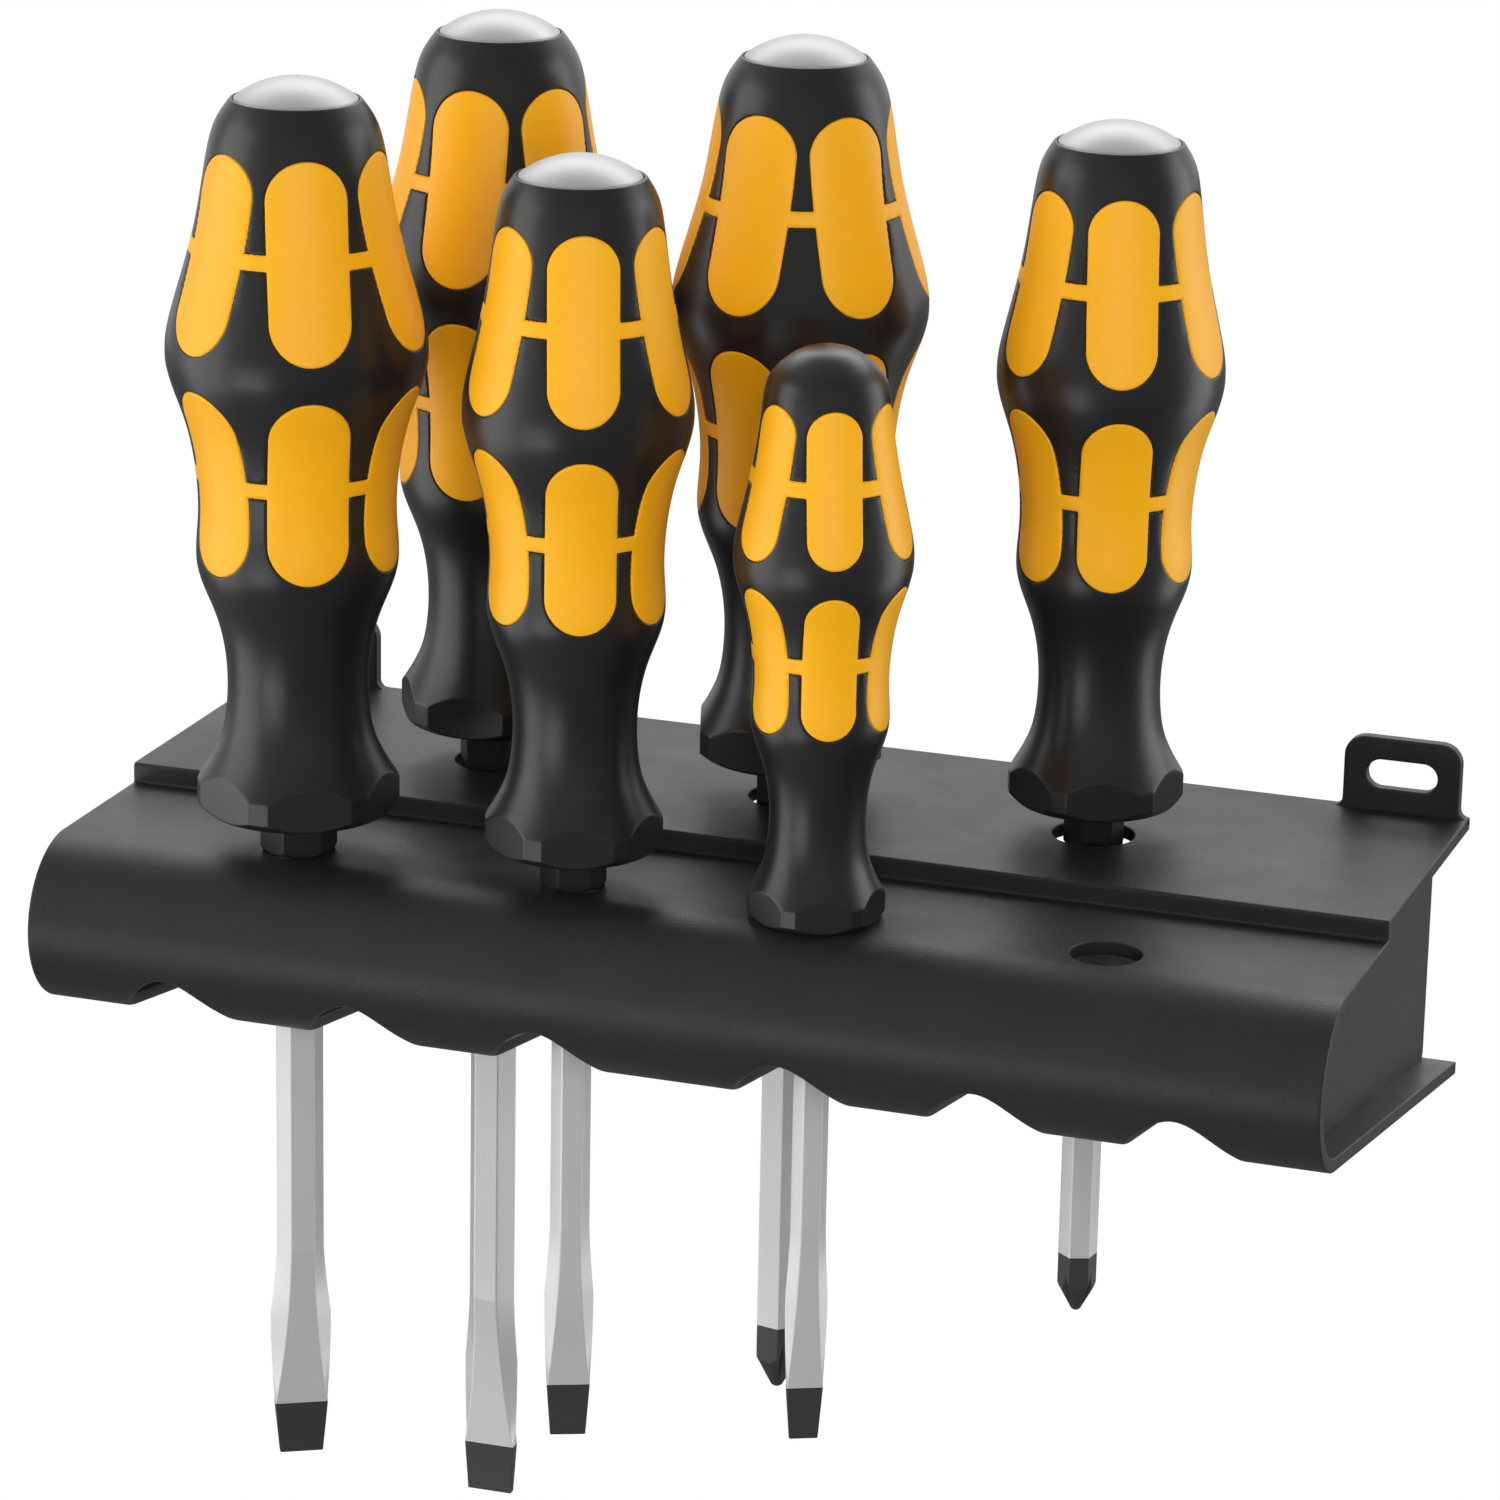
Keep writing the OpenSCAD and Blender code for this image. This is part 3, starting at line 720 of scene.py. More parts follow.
    def lining(self, angle: Array, along: Array) -> Array:
        """Returns points of the inside, level with the outside and nearer the axis.

        The skin's thickness fades out near the blade's hole. Heights are kept between the
        inner floor of the foot and the roof under the cap or the dome.

        Args:
            angle: angles from a pad's middle, in radians.
            along: distances along the profile.

        Returns:
            One row for each point.
        """
        radius, height = self.outside(angle, along)
        radius = radius - self.skin * np.clip((radius - self.bore) / self.fade, 0, 1)
        roof = self.length - (self.roof_drop if self.cap else self.skin)
        height = np.where(height > roof, roof - 0.05 * (height - roof), np.maximum(height, self.skin))
        return np.column_stack([radius * np.sin(angle), -radius * np.cos(angle), height])

    def window(self, sideways: Array, height: Array) -> Array:
        """Returns the signed distance to the edge of the windows, below zero inside them.

        A pad is a band with round ends of constant width, seen square on. A thin band joins the pads
        of a row. The union of both takes the lower distance.

        Args:
            sideways: distances from the plane through the pads' middle.
            height: heights above the base.

        Returns:
            One distance for each place.
        """
        half = self.pad_share * self.belly / 4
        result = np.full(len(height), np.inf)
        for low, high in self.pad_rows:
            low, high = low * self.length, high * self.length
            beyond = np.maximum(np.maximum(low + half - height, height - high + half), 0)
            pad = np.hypot(sideways, beyond) - half
            strip = np.abs(height - (low + high) / 2) - self.band / 2
            result = np.minimum(result, np.minimum(pad, strip))
        return result

    def gap(self, angle: Array, along: Array) -> Array:
        """Returns the signed distance to the windows' edge at angles from a pad's middle."""
        radius, height = self.on_profile(along)
        return self.window(radius * np.sin(angle), height)

    def edge_lines(self, offset: float) -> list[Array]:
        """Returns the lines at an offset outside the windows' edge, as sideways distance and height.

        Each row has an upper and a lower line: along the band, round the pad's end, and along the
        band again.

        Args:
            offset: distance of the lines outside the edge.

        Returns:
            The lines, two for each row of pads.
        """
        half = self.pad_share * self.belly / 4 + offset
        lines = []
        for low, high in self.pad_rows:
            low, high = low * self.length - offset, high * self.length + offset
            middle = (low + high) / 2
            strip = self.band / 2 + offset
            for end, sign in ((high, 1), (low, -1)):
                centre = end - sign * half
                turn = np.linspace(math.pi, 0, 29)
                around = np.column_stack([half * np.cos(turn), centre + sign * half * np.sin(turn)])
                foot = middle + sign * strip
                rise = np.linspace(foot, centre, max(3, int(abs(centre - foot) / (0.8 * MM))))[:-1]
                left = np.column_stack([np.full(len(rise), -half), rise])
                right = np.column_stack([np.full(len(rise), half), rise[::-1]])
                reach = np.linspace(self.belly, half, 40)[:-1]
                start = np.column_stack([-reach, np.full(len(reach), foot)])
                finish = np.column_stack([reach[::-1], np.full(len(reach), foot)])
                lines.append(np.vstack([start, left, around, right, finish]))
        return lines

    def foot_lines(self, scale: float) -> tuple[list[Array], list[Array]]:
        """Returns the creases of the foot on the net, and rows of points close beside them.

        The level creases lie where the profile's radius equals that of the flats, once on the bevel
        and once on the curve above. The upright ones lie where a wide and a narrow flat meet.

        Args:
            scale: net distance for one radian.

        Returns:
            The creases and the rows, as net points.
        """
        path, lengths = self.track()
        waist = int(np.argmax(path[:, 1] > 0.14 * self.length))
        peak = int(np.argmax(path[:waist, 0]))
        angle = np.radians(np.arange(-30, 31, 1.0))
        flat = self.flats(angle, 1e-9)
        lower = np.interp(flat, path[: peak + 1, 0], lengths[: peak + 1])
        upper = np.interp(-flat, -path[peak:waist, 0], lengths[peak:waist])
        creases = [np.column_stack([angle * scale, line]) for line in (lower, upper)]
        rows = [crease[1:-1] + [0, step] for crease in creases for step in CREASE_STEPS]
        for side in (-1, 1):
            at = int(round(30 + side * self.wide_angle))
            rise = np.linspace(lower[at], upper[at], 12)
            creases.append(np.column_stack([np.full(12, angle[at] * scale), rise]))
            rows += [creases[-1][1:-1] + [step, 0] for step in CREASE_STEPS]
        return creases, rows

    def domain(self) -> tuple[Array, Array, Array]:
        """Returns one sixth of the handle as a plane net.

        Returns:
            The plane points (angle times a mean radius, distance along the profile), the triangles,
            and the signed distance of each triangle's middle to the windows' edge.
        """
        path, lengths = self.track()
        scale = self.net_share * self.belly / 2
        limit = math.pi / self.sectors
        rise_from = int(np.argmax(path[:, 1] > 0.03 * self.length))
        rise_to = int(np.nonzero(path[:, 1] <= 0.925 * self.length)[0][-1])
        heights, alongs, radii = (v[rise_from:rise_to] for v in (path[:, 1], lengths, path[:, 0]))

        def to_plane(line: Array) -> Array:
            """Turns sideways distance and height into plane points, cut off at the sector's sides.

            Args:
                line: sideways distance and height, one row for each point.

            Returns:
                The plane points inside the sector.
            """
            radius = np.interp(line[:, 1], heights, radii)
            angle = np.arcsin(np.clip(line[:, 0] / radius, -1, 1))
            keep = np.abs(angle) < limit * 0.995
            return np.column_stack([angle * scale, np.interp(line[:, 1], heights, alongs)])[keep]

        creases, rows_beside = self.foot_lines(scale)
        chains = list(creases[:2])
        for offset in (0.0, -self.parting):
            for line in self.edge_lines(offset):
                plane = to_plane(line)
                ends = np.array([[-limit * scale, plane[0, 1]], [limit * scale, plane[-1, 1]]])
                chains.append(np.vstack([ends[:1], plane, ends[1:]]))
        near = [to_plane(line) for offset in WINDOW_STEPS for line in self.edge_lines(float(offset))]
        foot_end = float(np.interp(self.foot_top * self.length, path[rise_from:, 1], lengths[rise_from:]))
        foot_start = float(np.interp(0.92 * self.base_share * self.belly / 2, path[:4, 0], lengths[:4]))
        rows = rows_along(path, 1.15 * MM, math.radians(7))
        upper = rows[rows > foot_end + 0.3 * MM]
        foot_rows = np.concatenate([
            np.linspace(0, foot_start, 6), np.linspace(foot_start, foot_end, 36)[1:]])
        grids = []
        for levels, columns in ((upper, 16), (foot_rows, 60)):
            across = np.linspace(-limit, limit, columns + 1)[1:-1] * scale
            grids.append(np.stack(np.meshgrid(across, levels[1:-1]), 2).reshape(-1, 2))
        free = np.vstack(grids)
        gap = self.gap(free[:, 0] / scale, free[:, 1])
        in_rise = (free[:, 1] > alongs[0]) & (free[:, 1] < alongs[-1])
        free = free[(~in_rise | (np.abs(gap) > 0.75 * MM)) & (distance_to(free, creases) > 0.42 * MM)]
        levels = np.concatenate([foot_rows[1:-1], upper[1:-1]])
        crossing = [line[0, 1] for line in chains + near]
        crossing = np.array(crossing + [c[0, 1] + step for c in creases[:2] for step in CREASE_STEPS])
        near_band = np.abs(levels[:, None] - crossing[None]).min(1) < 0.3 * MM
        levels = np.sort(np.concatenate([levels[~near_band], crossing, [0, lengths[-1]]]))
        side = np.column_stack([np.full(len(levels), limit * scale), levels])
        ends = [np.stack([np.linspace(-limit, limit, n + 1) * scale, np.full(n + 1, level)], 1)
                for n, level in ((60, 0.0), (16, lengths[-1]))]
        border = [side, side * [-1, 1], *ends]
        free = np.vstack([free, *near, *rows_beside])
        plane, triangles = triangulate(free, chains + creases[2:] + border)
        middle = plane[triangles].mean(1)
        signed = self.gap(middle[:, 0] / scale, middle[:, 1])
        rising = (middle[:, 1] > alongs[0]) & (middle[:, 1] < alongs[-1])
        return plane, triangles, np.where(rising, signed, np.inf)

    def ring(self, plane: Array, triangles: Array) -> tuple[Array, Array]:
        """Repeats one sixth round the axis and joins the sides.

        Args:
            plane: points of the sixth.
            triangles: its faces.

        Returns:
            The plane points of the whole ring, with angles over one turn, and its faces.
        """
        scale = self.net_share * self.belly / 2
        limit = math.pi / self.sectors * scale
        count = len(plane)
        left = np.nonzero(np.abs(plane[:, 0] + limit) < 1e-9)[0]
        right = np.nonzero(np.abs(plane[:, 0] - limit) < 1e-9)[0]
        left, right = left[np.argsort(plane[left, 1])], right[np.argsort(plane[right, 1])]
        number = np.arange(count * self.sectors).reshape(self.sectors, count)
        number[:, right] = np.roll(number[:, left], -1, axis=0)
        spots = np.vstack([plane + [2 * limit * k, 0] for k in range(self.sectors)])
        faces = np.vstack([number[k][triangles] for k in range(self.sectors)])
        if not self.cap:
            top = np.nonzero(spots[:, 1] > plane[:, 1].max() - 1e-9)[0]
            faces = np.where(np.isin(faces, top), top[0], faces)
            faces = faces[np.all(faces != np.roll(faces, 1, 1), 1)]
        return np.column_stack([spots[:, 0] / scale, spots[:, 1]]), faces

    def build(self) -> tuple[Surface, Surface]:
        """Returns the skin and the core in the handle's own frame.

        Both come from one net. A face belongs to the core where it lies inside the windows and to
        the skin elsewhere. Each sheet drops by a quarter circle towards the parting line.

        Returns:
            The skin and the core.
        """
        plane, triangles, signed = self.domain()
        limit = math.pi / self.sectors
        parts = []
        for inside in (False, True):
            chosen = triangles[signed < -self.parting / 2] if inside else triangles[signed > 0]
            spots, faces = self.ring(plane, chosen)
            sixth = (spots[:, 0] + limit) % (2 * limit) - limit
            height = self.on_profile(spots[:, 1])[1]
            gap = self.gap(sixth, spots[:, 1])
            gap = np.maximum(-gap - self.parting if inside else gap, 0)
            usable = (height > self.pads_from * self.length) & (height < self.pads_to * self.length)
            depth = np.where(usable, eased_depth(gap, self.edge_ease), 0)
            outer = self.body(spots[:, 0], spots[:, 1], depth)
            parts.append(closed_shell(outer, self.lining(spots[:, 0], spots[:, 1]), faces))
        return parts[0], parts[1].joined(self.core_body())

    def core_body(self) -> Surface:
        """Returns the closed body under the skin: the profile's radius less the skin and a thin gap.

        Returns:
            The closed body.
        """
        path = self.profile()
        top = self.length - self.core_drop if self.cap else self.pads_to * self.length
        height = np.linspace(self.core_from * self.length, top, 60)
        climb = path[:, 1] > 0.1 * self.length
        last = int(np.argmax(path[:, 1])) + 1
        radius = np.interp(height, path[climb][:last, 1], path[climb][:last, 0]) - self.skin - 0.1 * MM
        return polar_solid(radius[:, None], height, turns(48))


# Blades, bolsters and caps


class Tip(Enum):
    """The two kinds of working end."""

    SLOTTED = "slotted"
    CROSS = "cross"


@dataclass
class SlottedBlade:
    """A hexagon bar that is forged flat and wide, then ground to an edge.

    Args:
        bar: width across flats.
        length: from the edge to the top of the tang.
        edge: width of the edge.
        flare: widest part of the forged flat.
    """

    bar: float
    length: float
    edge: float
    flare: float
    widest: float = 22 * MM
    full: float = 33 * MM
    black: float = 8 * MM
    edge_share: float = 0.17

    def section(self, height: Array) -> tuple[Array, Array, Array, Array]:
        """Returns the hexagon at each height: half face, half width, half thickness and corner ease.

        The half width eases from the edge to the flare and back to the bar. The front face narrows
        from the full width at the black end to the face of the bar along a curve with power 2.1.
        The thickness grows from the edge with power 1.3.

        Args:
            height: heights above the edge.

        Returns:
            The four values, each an array over the heights.
        """
        corner, face = self.bar / math.sqrt(3), self.bar / math.sqrt(12)
        rise = np.clip(height / self.widest, 0, 1)
        fall = np.clip((height - self.widest) / (self.full - self.widest), 0, 1)
        width = self.edge / 2 + (self.flare - self.edge) / 2 * np.sin(rise * math.pi / 2)
        back_to_bar = self.flare / 2 + (corner - self.flare / 2) * (1 - (1 - fall) ** 1.5)
        width = np.where(height > self.widest, back_to_bar, width)
        above = np.clip((height - self.black) / (self.full - self.black), 0, 1)
        swell = math.sin(self.black / self.widest * math.pi / 2)
        straight = self.edge / 2 + (self.flare - self.edge) / 2 * swell
        front = np.where(height <= self.black, width, face + (straight - face) * (1 - above) ** 2.1)
        thin = self.edge_share * self.edge / 2
        thick = thin + (self.bar / 2 - thin) * np.clip(height / self.full, 0, 1) ** 1.3
        ease = np.interp(height, [0, self.full], [0.08 * MM, 0.22 * MM])
        return front, width, thick, ease

    def build(self) -> Surface:
        """Returns the blade with its edge at height 0 and the wide side facing -Y.

        Each corner of the hexagon section becomes a quadratic ease between points on its two sides.

        Returns:
            The closed blade, with the second finish on its blackened end.
        """
        height = np.unique(np.concatenate([
            [0, 0.06 * MM, 0.15 * MM], np.linspace(0.3 * MM, self.black, 8), [self.black + BLACK_STEP],
            np.linspace(self.black, self.full, 60)[1:], np.linspace(self.full, self.length, 12)[1:]]))
        front, width, thick, ease = self.section(height)
        nip = np.interp(height, [0, 0.06 * MM, 0.15 * MM, 0.3 * MM], [0.15 * MM, 0.05 * MM, 0.01 * MM, 0])
        front, width, thick = front - nip, width - nip, thick - nip
        zero = np.zeros_like(front)
        corners = np.stack([
            np.stack([front, -thick], 1), np.stack([width, zero], 1), np.stack([front, thick], 1),
            np.stack([-front, thick], 1), np.stack([-width, zero], 1), np.stack([-front, -thick], 1)], 1)
        before, after = np.roll(corners, 1, 1) - corners, np.roll(corners, -1, 1) - corners
        before_length, after_length = (np.linalg.norm(v, axis=2, keepdims=True) for v in (before, after))
        reach = np.minimum(ease[:, None, None], 0.45 * np.minimum(before_length, after_length))
        start, end = corners + before / before_length * reach, corners + after / after_length * reach
        share = np.linspace(0, 1, 5)[None, None, :, None]
        curve = eased(share, start[:, :, None], corners[:, :, None], end[:, :, None])
        flat = curve.reshape(len(height), -1, 2)
        rows, columns = flat.shape[:2]
        level = np.broadcast_to(height[:, None, None], (rows, columns, 1))
        points = np.concatenate([flat, level], 2).reshape(-1, 3)
        grid = polar_solid(np.ones(1), height, turns(columns))
        grid.points[: rows * columns] = points
        return grid.blackened(self.black)


@dataclass
class CrossBlade:
    """A hexagon bar with a turned point and four milled flutes.

    Args:
        bar: width across flats.
        length: from the point to the top of the tang.
        black: length of the blackened end.
    """

    bar: float
    length: float
    black: float
    wing_share: float = 0.2
    blunt_share: float = 0.12
    point_angle: float = 56
    flute_angle: float = 17

    def build(self) -> Surface:
        """Returns the blade with its point at height 0.

        The radius is the soft minimum of the hexagon, the cone of the point, and the flutes: at a
        height h a flute's corner is c = wing + h tan(flute) / sqrt(2) from both wing planes, so the
        radius along an angle is c / min(|cos|, |sin|).

        Returns:
            The closed blade, with the second finish on its blackened end.
        """
        angles = turns(144)
        height = np.unique(np.concatenate([
            np.linspace(0, 5 * MM, 50), np.linspace(5 * MM, 16 * MM, 70),
            [self.black, self.black + BLACK_STEP], np.linspace(16 * MM, self.length, 12)]))
        bar = hexagon_radius(angles, self.bar, 0.12 * MM)
        blunt = self.blunt_share * self.bar
        cone = blunt + height * math.tan(math.radians(self.point_angle / 2))
        cone = (cone - np.clip(0.35 * MM - height, 0, 1) ** 2 / (0.7 * MM))[:, None]
        climb = height * math.tan(math.radians(self.flute_angle)) / math.sqrt(2)
        corner = self.wing_share * self.bar / 2 + climb
        lower = np.maximum(np.minimum(np.abs(np.cos(angles)), np.abs(np.sin(angles))), 1e-3)
        flute = np.minimum(corner[:, None] / lower[None], 4 * self.bar)
        radius = soft_min(soft_min(bar, cone, 0.15 * MM), flute, 0.12 * MM)
        return polar_solid(np.maximum(radius, 0.05 * MM), height, angles).blackened(self.black)


@dataclass
class Bolster:
    """A hexagon collar with a chamfered lower end, pressed on the blade.

    Args:
        across: width across flats.
        height: its full height.
    """

    across: float
    height: float
    tip_share: float = 0.9

    def build(self) -> Surface:
        """Returns the collar from height 0; its radius is the soft minimum of hexagon and chamfer.

        Returns:
            The closed collar.
        """
        angles = turns(144)
        height = np.unique(np.concatenate([
            np.linspace(0, 2.2 * MM, 16), [2.6 * MM], self.height - np.array([0.3, 0.12, 0.04, 0.0]) * MM]))
        bar = hexagon_radius(angles, self.across, 0.16 * MM)
        chamfer = (self.tip_share * self.across / 2 + height)[:, None]
        top = np.clip(0.12 * MM - (self.height - height), 0, 1)[:, None]
        return polar_solid(soft_min(bar, chamfer, 0.2 * MM) - top, height, angles)


@dataclass
class StrikeCap:
    """A domed steel cap with a short straight rim.

    Args:
        rim: its diameter.
    """

    rim: float
    dome: float = 3 * MM
    side: float = 1 * MM

    def build(self) -> Surface:
        """Returns the cap, the foot of its dome at height 0: a ball segment with an eased rim.

        The ball's radius is (r^2 + h^2) / (2 h) for rim radius r and dome height h.

        Returns:
            The closed cap.
        """
        radius = self.rim / 2
        ball = (radius**2 + self.dome**2) / (2 * self.dome)
        outline = np.linspace(0.94 * radius, 0, 26)
        crown = np.column_stack([outline, self.dome - ball + np.sqrt(ball**2 - outline**2)])
        foot = np.array([[radius - 0.1 * MM, -self.side], [radius, -self.side + 0.1 * MM], [radius, 0.0]])
        path = rounded(np.vstack([foot, crown]), [0, 0, 0.3 * MM] + [0] * len(crown))[:-1]
        return polar_solid(path[:, :1], np.maximum.accumulate(path[:, 1]), turns(96))


@dataclass
class Driver:
    """One screwdriver: handle, blade and, on all but the smallest, bolster and cap.

    Args:
        name: start of its nodes' names.
        tip: kind of working end.
        length: height of the handle with its cap.
        belly: largest diameter of the handle.
        bar: width of the blade across flats.
        turn: turn about its own axis in degrees.
        edge: edge width of a slotted tip.
        flare: widest part of a slotted tip.
        black: length of a cross tip's blackened end.
        cap: rim diameter of the cap, 0 for none.
        bolster: width of the bolster across flats, 0 for none.
    """

    name: str
    tip: Tip
    length: float
    belly: float
    bar: float
    turn: float
    edge: float = 0.0
    flare: float = 0.0
    black: float = 0.0
    cap: float = 0.0
    bolster: float = 0.0

    def stand(self) -> Stand:
        """Returns the driver's place, read from the box of its CAD skin."""
        low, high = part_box(f"{self.name}_skin")
        return Stand((low.x + high.x) / 2, (low.y + high.y) / 2, low.z, self.turn)

    def add(self, part: str, shape: Surface, lift: float, finishes: Sequence[bpy.types.Material],
            slot: Slot) -> None:
        """Places one piece of the driver, and lets it stand for the CAD node of the same name.

        Args:
            part: last part of the node's name.
            shape: the piece in the driver's own frame.
            lift: height to which it is raised above the handle's base.
            finishes: its materials.
            slot: the record's slot for the piece's finish; it is not used.
        """
        shape.points = self.stand().place(shape.points + [0, 0, lift])
        node = f"{self.name}_{part}"
        piece = shape.to_object(f"{node}_piece", finishes)
        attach(piece, "root")
        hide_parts(node)
        LOG.info("%s: %d triangles", piece.name, len(shape.triangles))

    def build(self, paint: Paintbox) -> None:
        """Builds and dresses every piece of the driver.

        Args:
            paint: all finishes of the set.
        """
        stand = self.stand()
        handle = Handle(self.length, self.belly, self.bar / math.sqrt(3) + 0.1 * MM, self.cap)
        skin, core = handle.build()
        self.add("skin", skin, 0, [paint.black], Slot.BLACK)
        self.add("core", core, 0, [paint.yellow], Slot.YELLOW)
        low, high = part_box(f"{self.name}_blade")
        reach = high.z - low.z
        if self.tip is Tip.SLOTTED:
            blade = SlottedBlade(self.bar, reach, self.edge, self.flare).build()
        else:
            blade = CrossBlade(self.bar, reach, self.black).build()
        self.add("blade", blade, low.z - stand.z, [paint.steel, paint.burnt], Slot.BLADE)
        if self.bolster:
            low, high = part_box(f"{self.name}_bolster")
            self.add("bolster", Bolster(self.bolster, high.z - low.z).build(), low.z - stand.z,
                     [paint.bolster], Slot.BOLSTER)
        if self.cap:
            cap = StrikeCap(self.cap)
            self.add("cap", cap.build(), self.length - cap.dome, [paint.cap], Slot.CAP)


# Rack


@dataclass
class Rack:
    """The moulded rack: a bent sheet with end walls, ribs, ears and seat lugs.

    Args:
        length: length along the wall.
        wall: thickness of the sheet.
        top: height of the back shelf.
        step_at: distance of the step from the wall plane.
        step: drop from the back shelf to the front shelf.
        nose_at: distance of the nose's centre from the wall plane.
        nose_radius: outer radius of the nose.
        height: height of the section at the wall plane.
        end_inset: distance of the end walls from the ends.
        rib_at: distance of the ribs from the middle.
        rib: thickness of a rib.
        slot_width: width of the slots in the bottom plate.
        slot_from: distance of their front ends from the wall plane.
        slot_to: distance of their back ends from it.
        front_row: distance of the front holes from the wall plane.
        back_row: distance of the back holes from it.
        slot_middles: distances of the slots' middles from the middle of the rack.
        front_holes: distance from the middle, and diameter, of the front holes.
        back_places: places of the back holes along X.
        back_hole: their diameter.
        low_hole_front: radius of the bottom plate's holes under the outer front holes.
        low_hole_back: radius of its hole under the middle back hole.
        edge_ease: radius of the sheet's outer edges.
        hole_ease: radius of the holes' edges.
        lip_ease: radius of the slots' outer edges.
    """

    length: float = 190 * MM
    wall: float = 2 * MM
    top: float = -5.5 * MM
    step_at: float = 50.5 * MM
    step: float = 3 * MM
    nose_at: float = 74.5 * MM
    nose_radius: float = 12.4 * MM
    height: float = 40 * MM
    end_inset: float = 5 * MM
    rib_at: float = 55.1 * MM
    rib: float = 1.4 * MM
    slot_width: float = 15.4 * MM
    slot_from: float = 85.8 * MM
    slot_to: float = 20 * MM
    front_row: float = 70 * MM
    back_row: float = 28.5 * MM
    slot_middles: tuple[float, ...] = (18 * MM, 46.2 * MM, 74.4 * MM)
    front_holes: tuple[tuple[float, float], ...] = ((18 * MM, 8.6 * MM), (60 * MM, 10 * MM))
    back_places: tuple[float, ...] = (-46.2 * MM, 0.0, 46.2 * MM)
    back_hole: float = 12 * MM
    low_hole_front: float = (6 / math.sqrt(3) + 0.8) * MM
    low_hole_back: float = (6.3 / math.sqrt(3) + 0.8) * MM
    edge_ease: float = 0.3 * MM
    hole_ease: float = 0.2 * MM
    lip_ease: float = 1.1 * MM

    def sections(self) -> tuple[Array, Array]:
        """Returns the outside and the inside of the section, point for point, as depth and height.

        Both run from the upper to the lower wall edge: two shelves with a step, the arc of the nose,
        and the bottom plate that is tangent to it. The inside is set in by the wall.

        Returns:
            The outside and the inside, one row for each point.
        """
        front, base = self.top - self.step, self.top - self.height
        centre = np.array([-self.nose_at, front - self.nose_radius])
        to_edge = np.array([0, base]) - centre
        slope = math.atan2(to_edge[1], to_edge[0]) + math.asin(self.nose_radius / np.linalg.norm(to_edge))
        ring = circle(np.linspace(math.pi / 2, 3 * math.pi / 2 + slope, 64))
        sides = []
        for inset, eases in ((0.0, (0.6, 0.5)), (self.wall, (0.3, 0.8))):
            shelf = np.array([
                [0, self.top - inset], [-44 * MM, self.top - inset], [inset - self.step_at, self.top - inset],
                [inset - self.step_at, front - inset], [-60 * MM, front - inset]])
            nose = centre + (self.nose_radius - inset) * ring
            path = np.vstack([shelf, nose, [[0, base + inset / math.cos(slope)]]])
            reach = np.zeros(len(path))
            reach[2], reach[3] = eases[0] * MM, eases[1] * MM
            sides.append(rounded(path, reach))
        return sides[0], sides[1]

    def outer_path(self) -> Array:
        """Returns the outside of the section."""
        return self.sections()[0]

    def sheet_point(self, spots: Array, depth: Array) -> Array:
        """Returns points of the bent sheet for places on the flat net.

        A point lies on the line from its outside to its inside point, at depth over wall.

        Args:
            spots: place along X and distance along the outside of the section.
            depth: depth below the outside.

        Returns:
            One row for each point.
        """
        outer, inner = self.sections()
        along = arc_length(outer)
        near, far = (
            np.column_stack([np.interp(spots[:, 1], along, side[:, i]) for i in (0, 1)])
            for side in (outer, inner))
        spot = near + (far - near) * (depth / self.wall)[:, None]
        return np.column_stack([spots[:, 0], np.minimum(spot[:, 0], 0), spot[:, 1]])

    def on_net(self, plan: Array, upper: bool) -> Array:
        """Returns the net places of points given in plan, on the shelves or on the underside.

        Args:
            plan: X and Y of the points, one row each.
            upper: whether they lie on the shelves.

        Returns:
            Place along X and distance along the section, one row for each point.
        """
        path = self.outer_path()
        along = arc_length(path)
        front = int(np.argmin(path[:, 0]))
        if upper:
            reach = np.interp(-plan[:, 1], -path[: front + 1, 0], along[: front + 1])
        else:
            reach = np.interp(plan[:, 1], path[front:, 0], along[front:])
        return np.column_stack([plan[:, 0], reach])

    def openings(self) -> tuple[list[Array], list[Array]]:
        """Returns the closed outlines of the holes and of the slots, on the flat net.

        Returns:
            The loops of the holes and the loops of the slots.
        """
        holes, slots = [], []
        ring = circle(np.linspace(0, 2 * np.pi, 65))
        front_holes = [(s * x, -self.front_row, d / 2) for s in (-1, 1) for x, d in self.front_holes]
        back_holes = [(x, -self.back_row, self.back_hole / 2) for x in self.back_places]
        for x, y, radius in front_holes + back_holes:
            holes.append(self.on_net(ring * radius + [x, y], True))
        outer = self.front_holes[-1][0]
        low_holes = [(s * outer, -self.front_row, self.low_hole_front) for s in (-1, 1)]
        for x, y, radius in low_holes + [(0, -self.back_row, self.low_hole_back)]:
            holes.append(self.on_net(ring * radius + [x, y], False))
        half = self.slot_width / 2
        turn = np.linspace(math.pi, 2 * math.pi, 49)
        side = np.linspace(half - self.slot_from, -half - self.slot_to, 48)[1:-1]
        for x in [s * m for s in (-1, 1) for m in self.slot_middles]:
            near = half * circle(turn) + [0, half - self.slot_from]
            far = -half * circle(turn) - [0, half + self.slot_to]
            right = np.column_stack([np.full(len(side), half), side])
            loop = np.vstack([near, right, far, right[::-1] * [-1, 1], near[:1]])
            slots.append(self.on_net(loop + [x, 0], False))
        return holes, slots

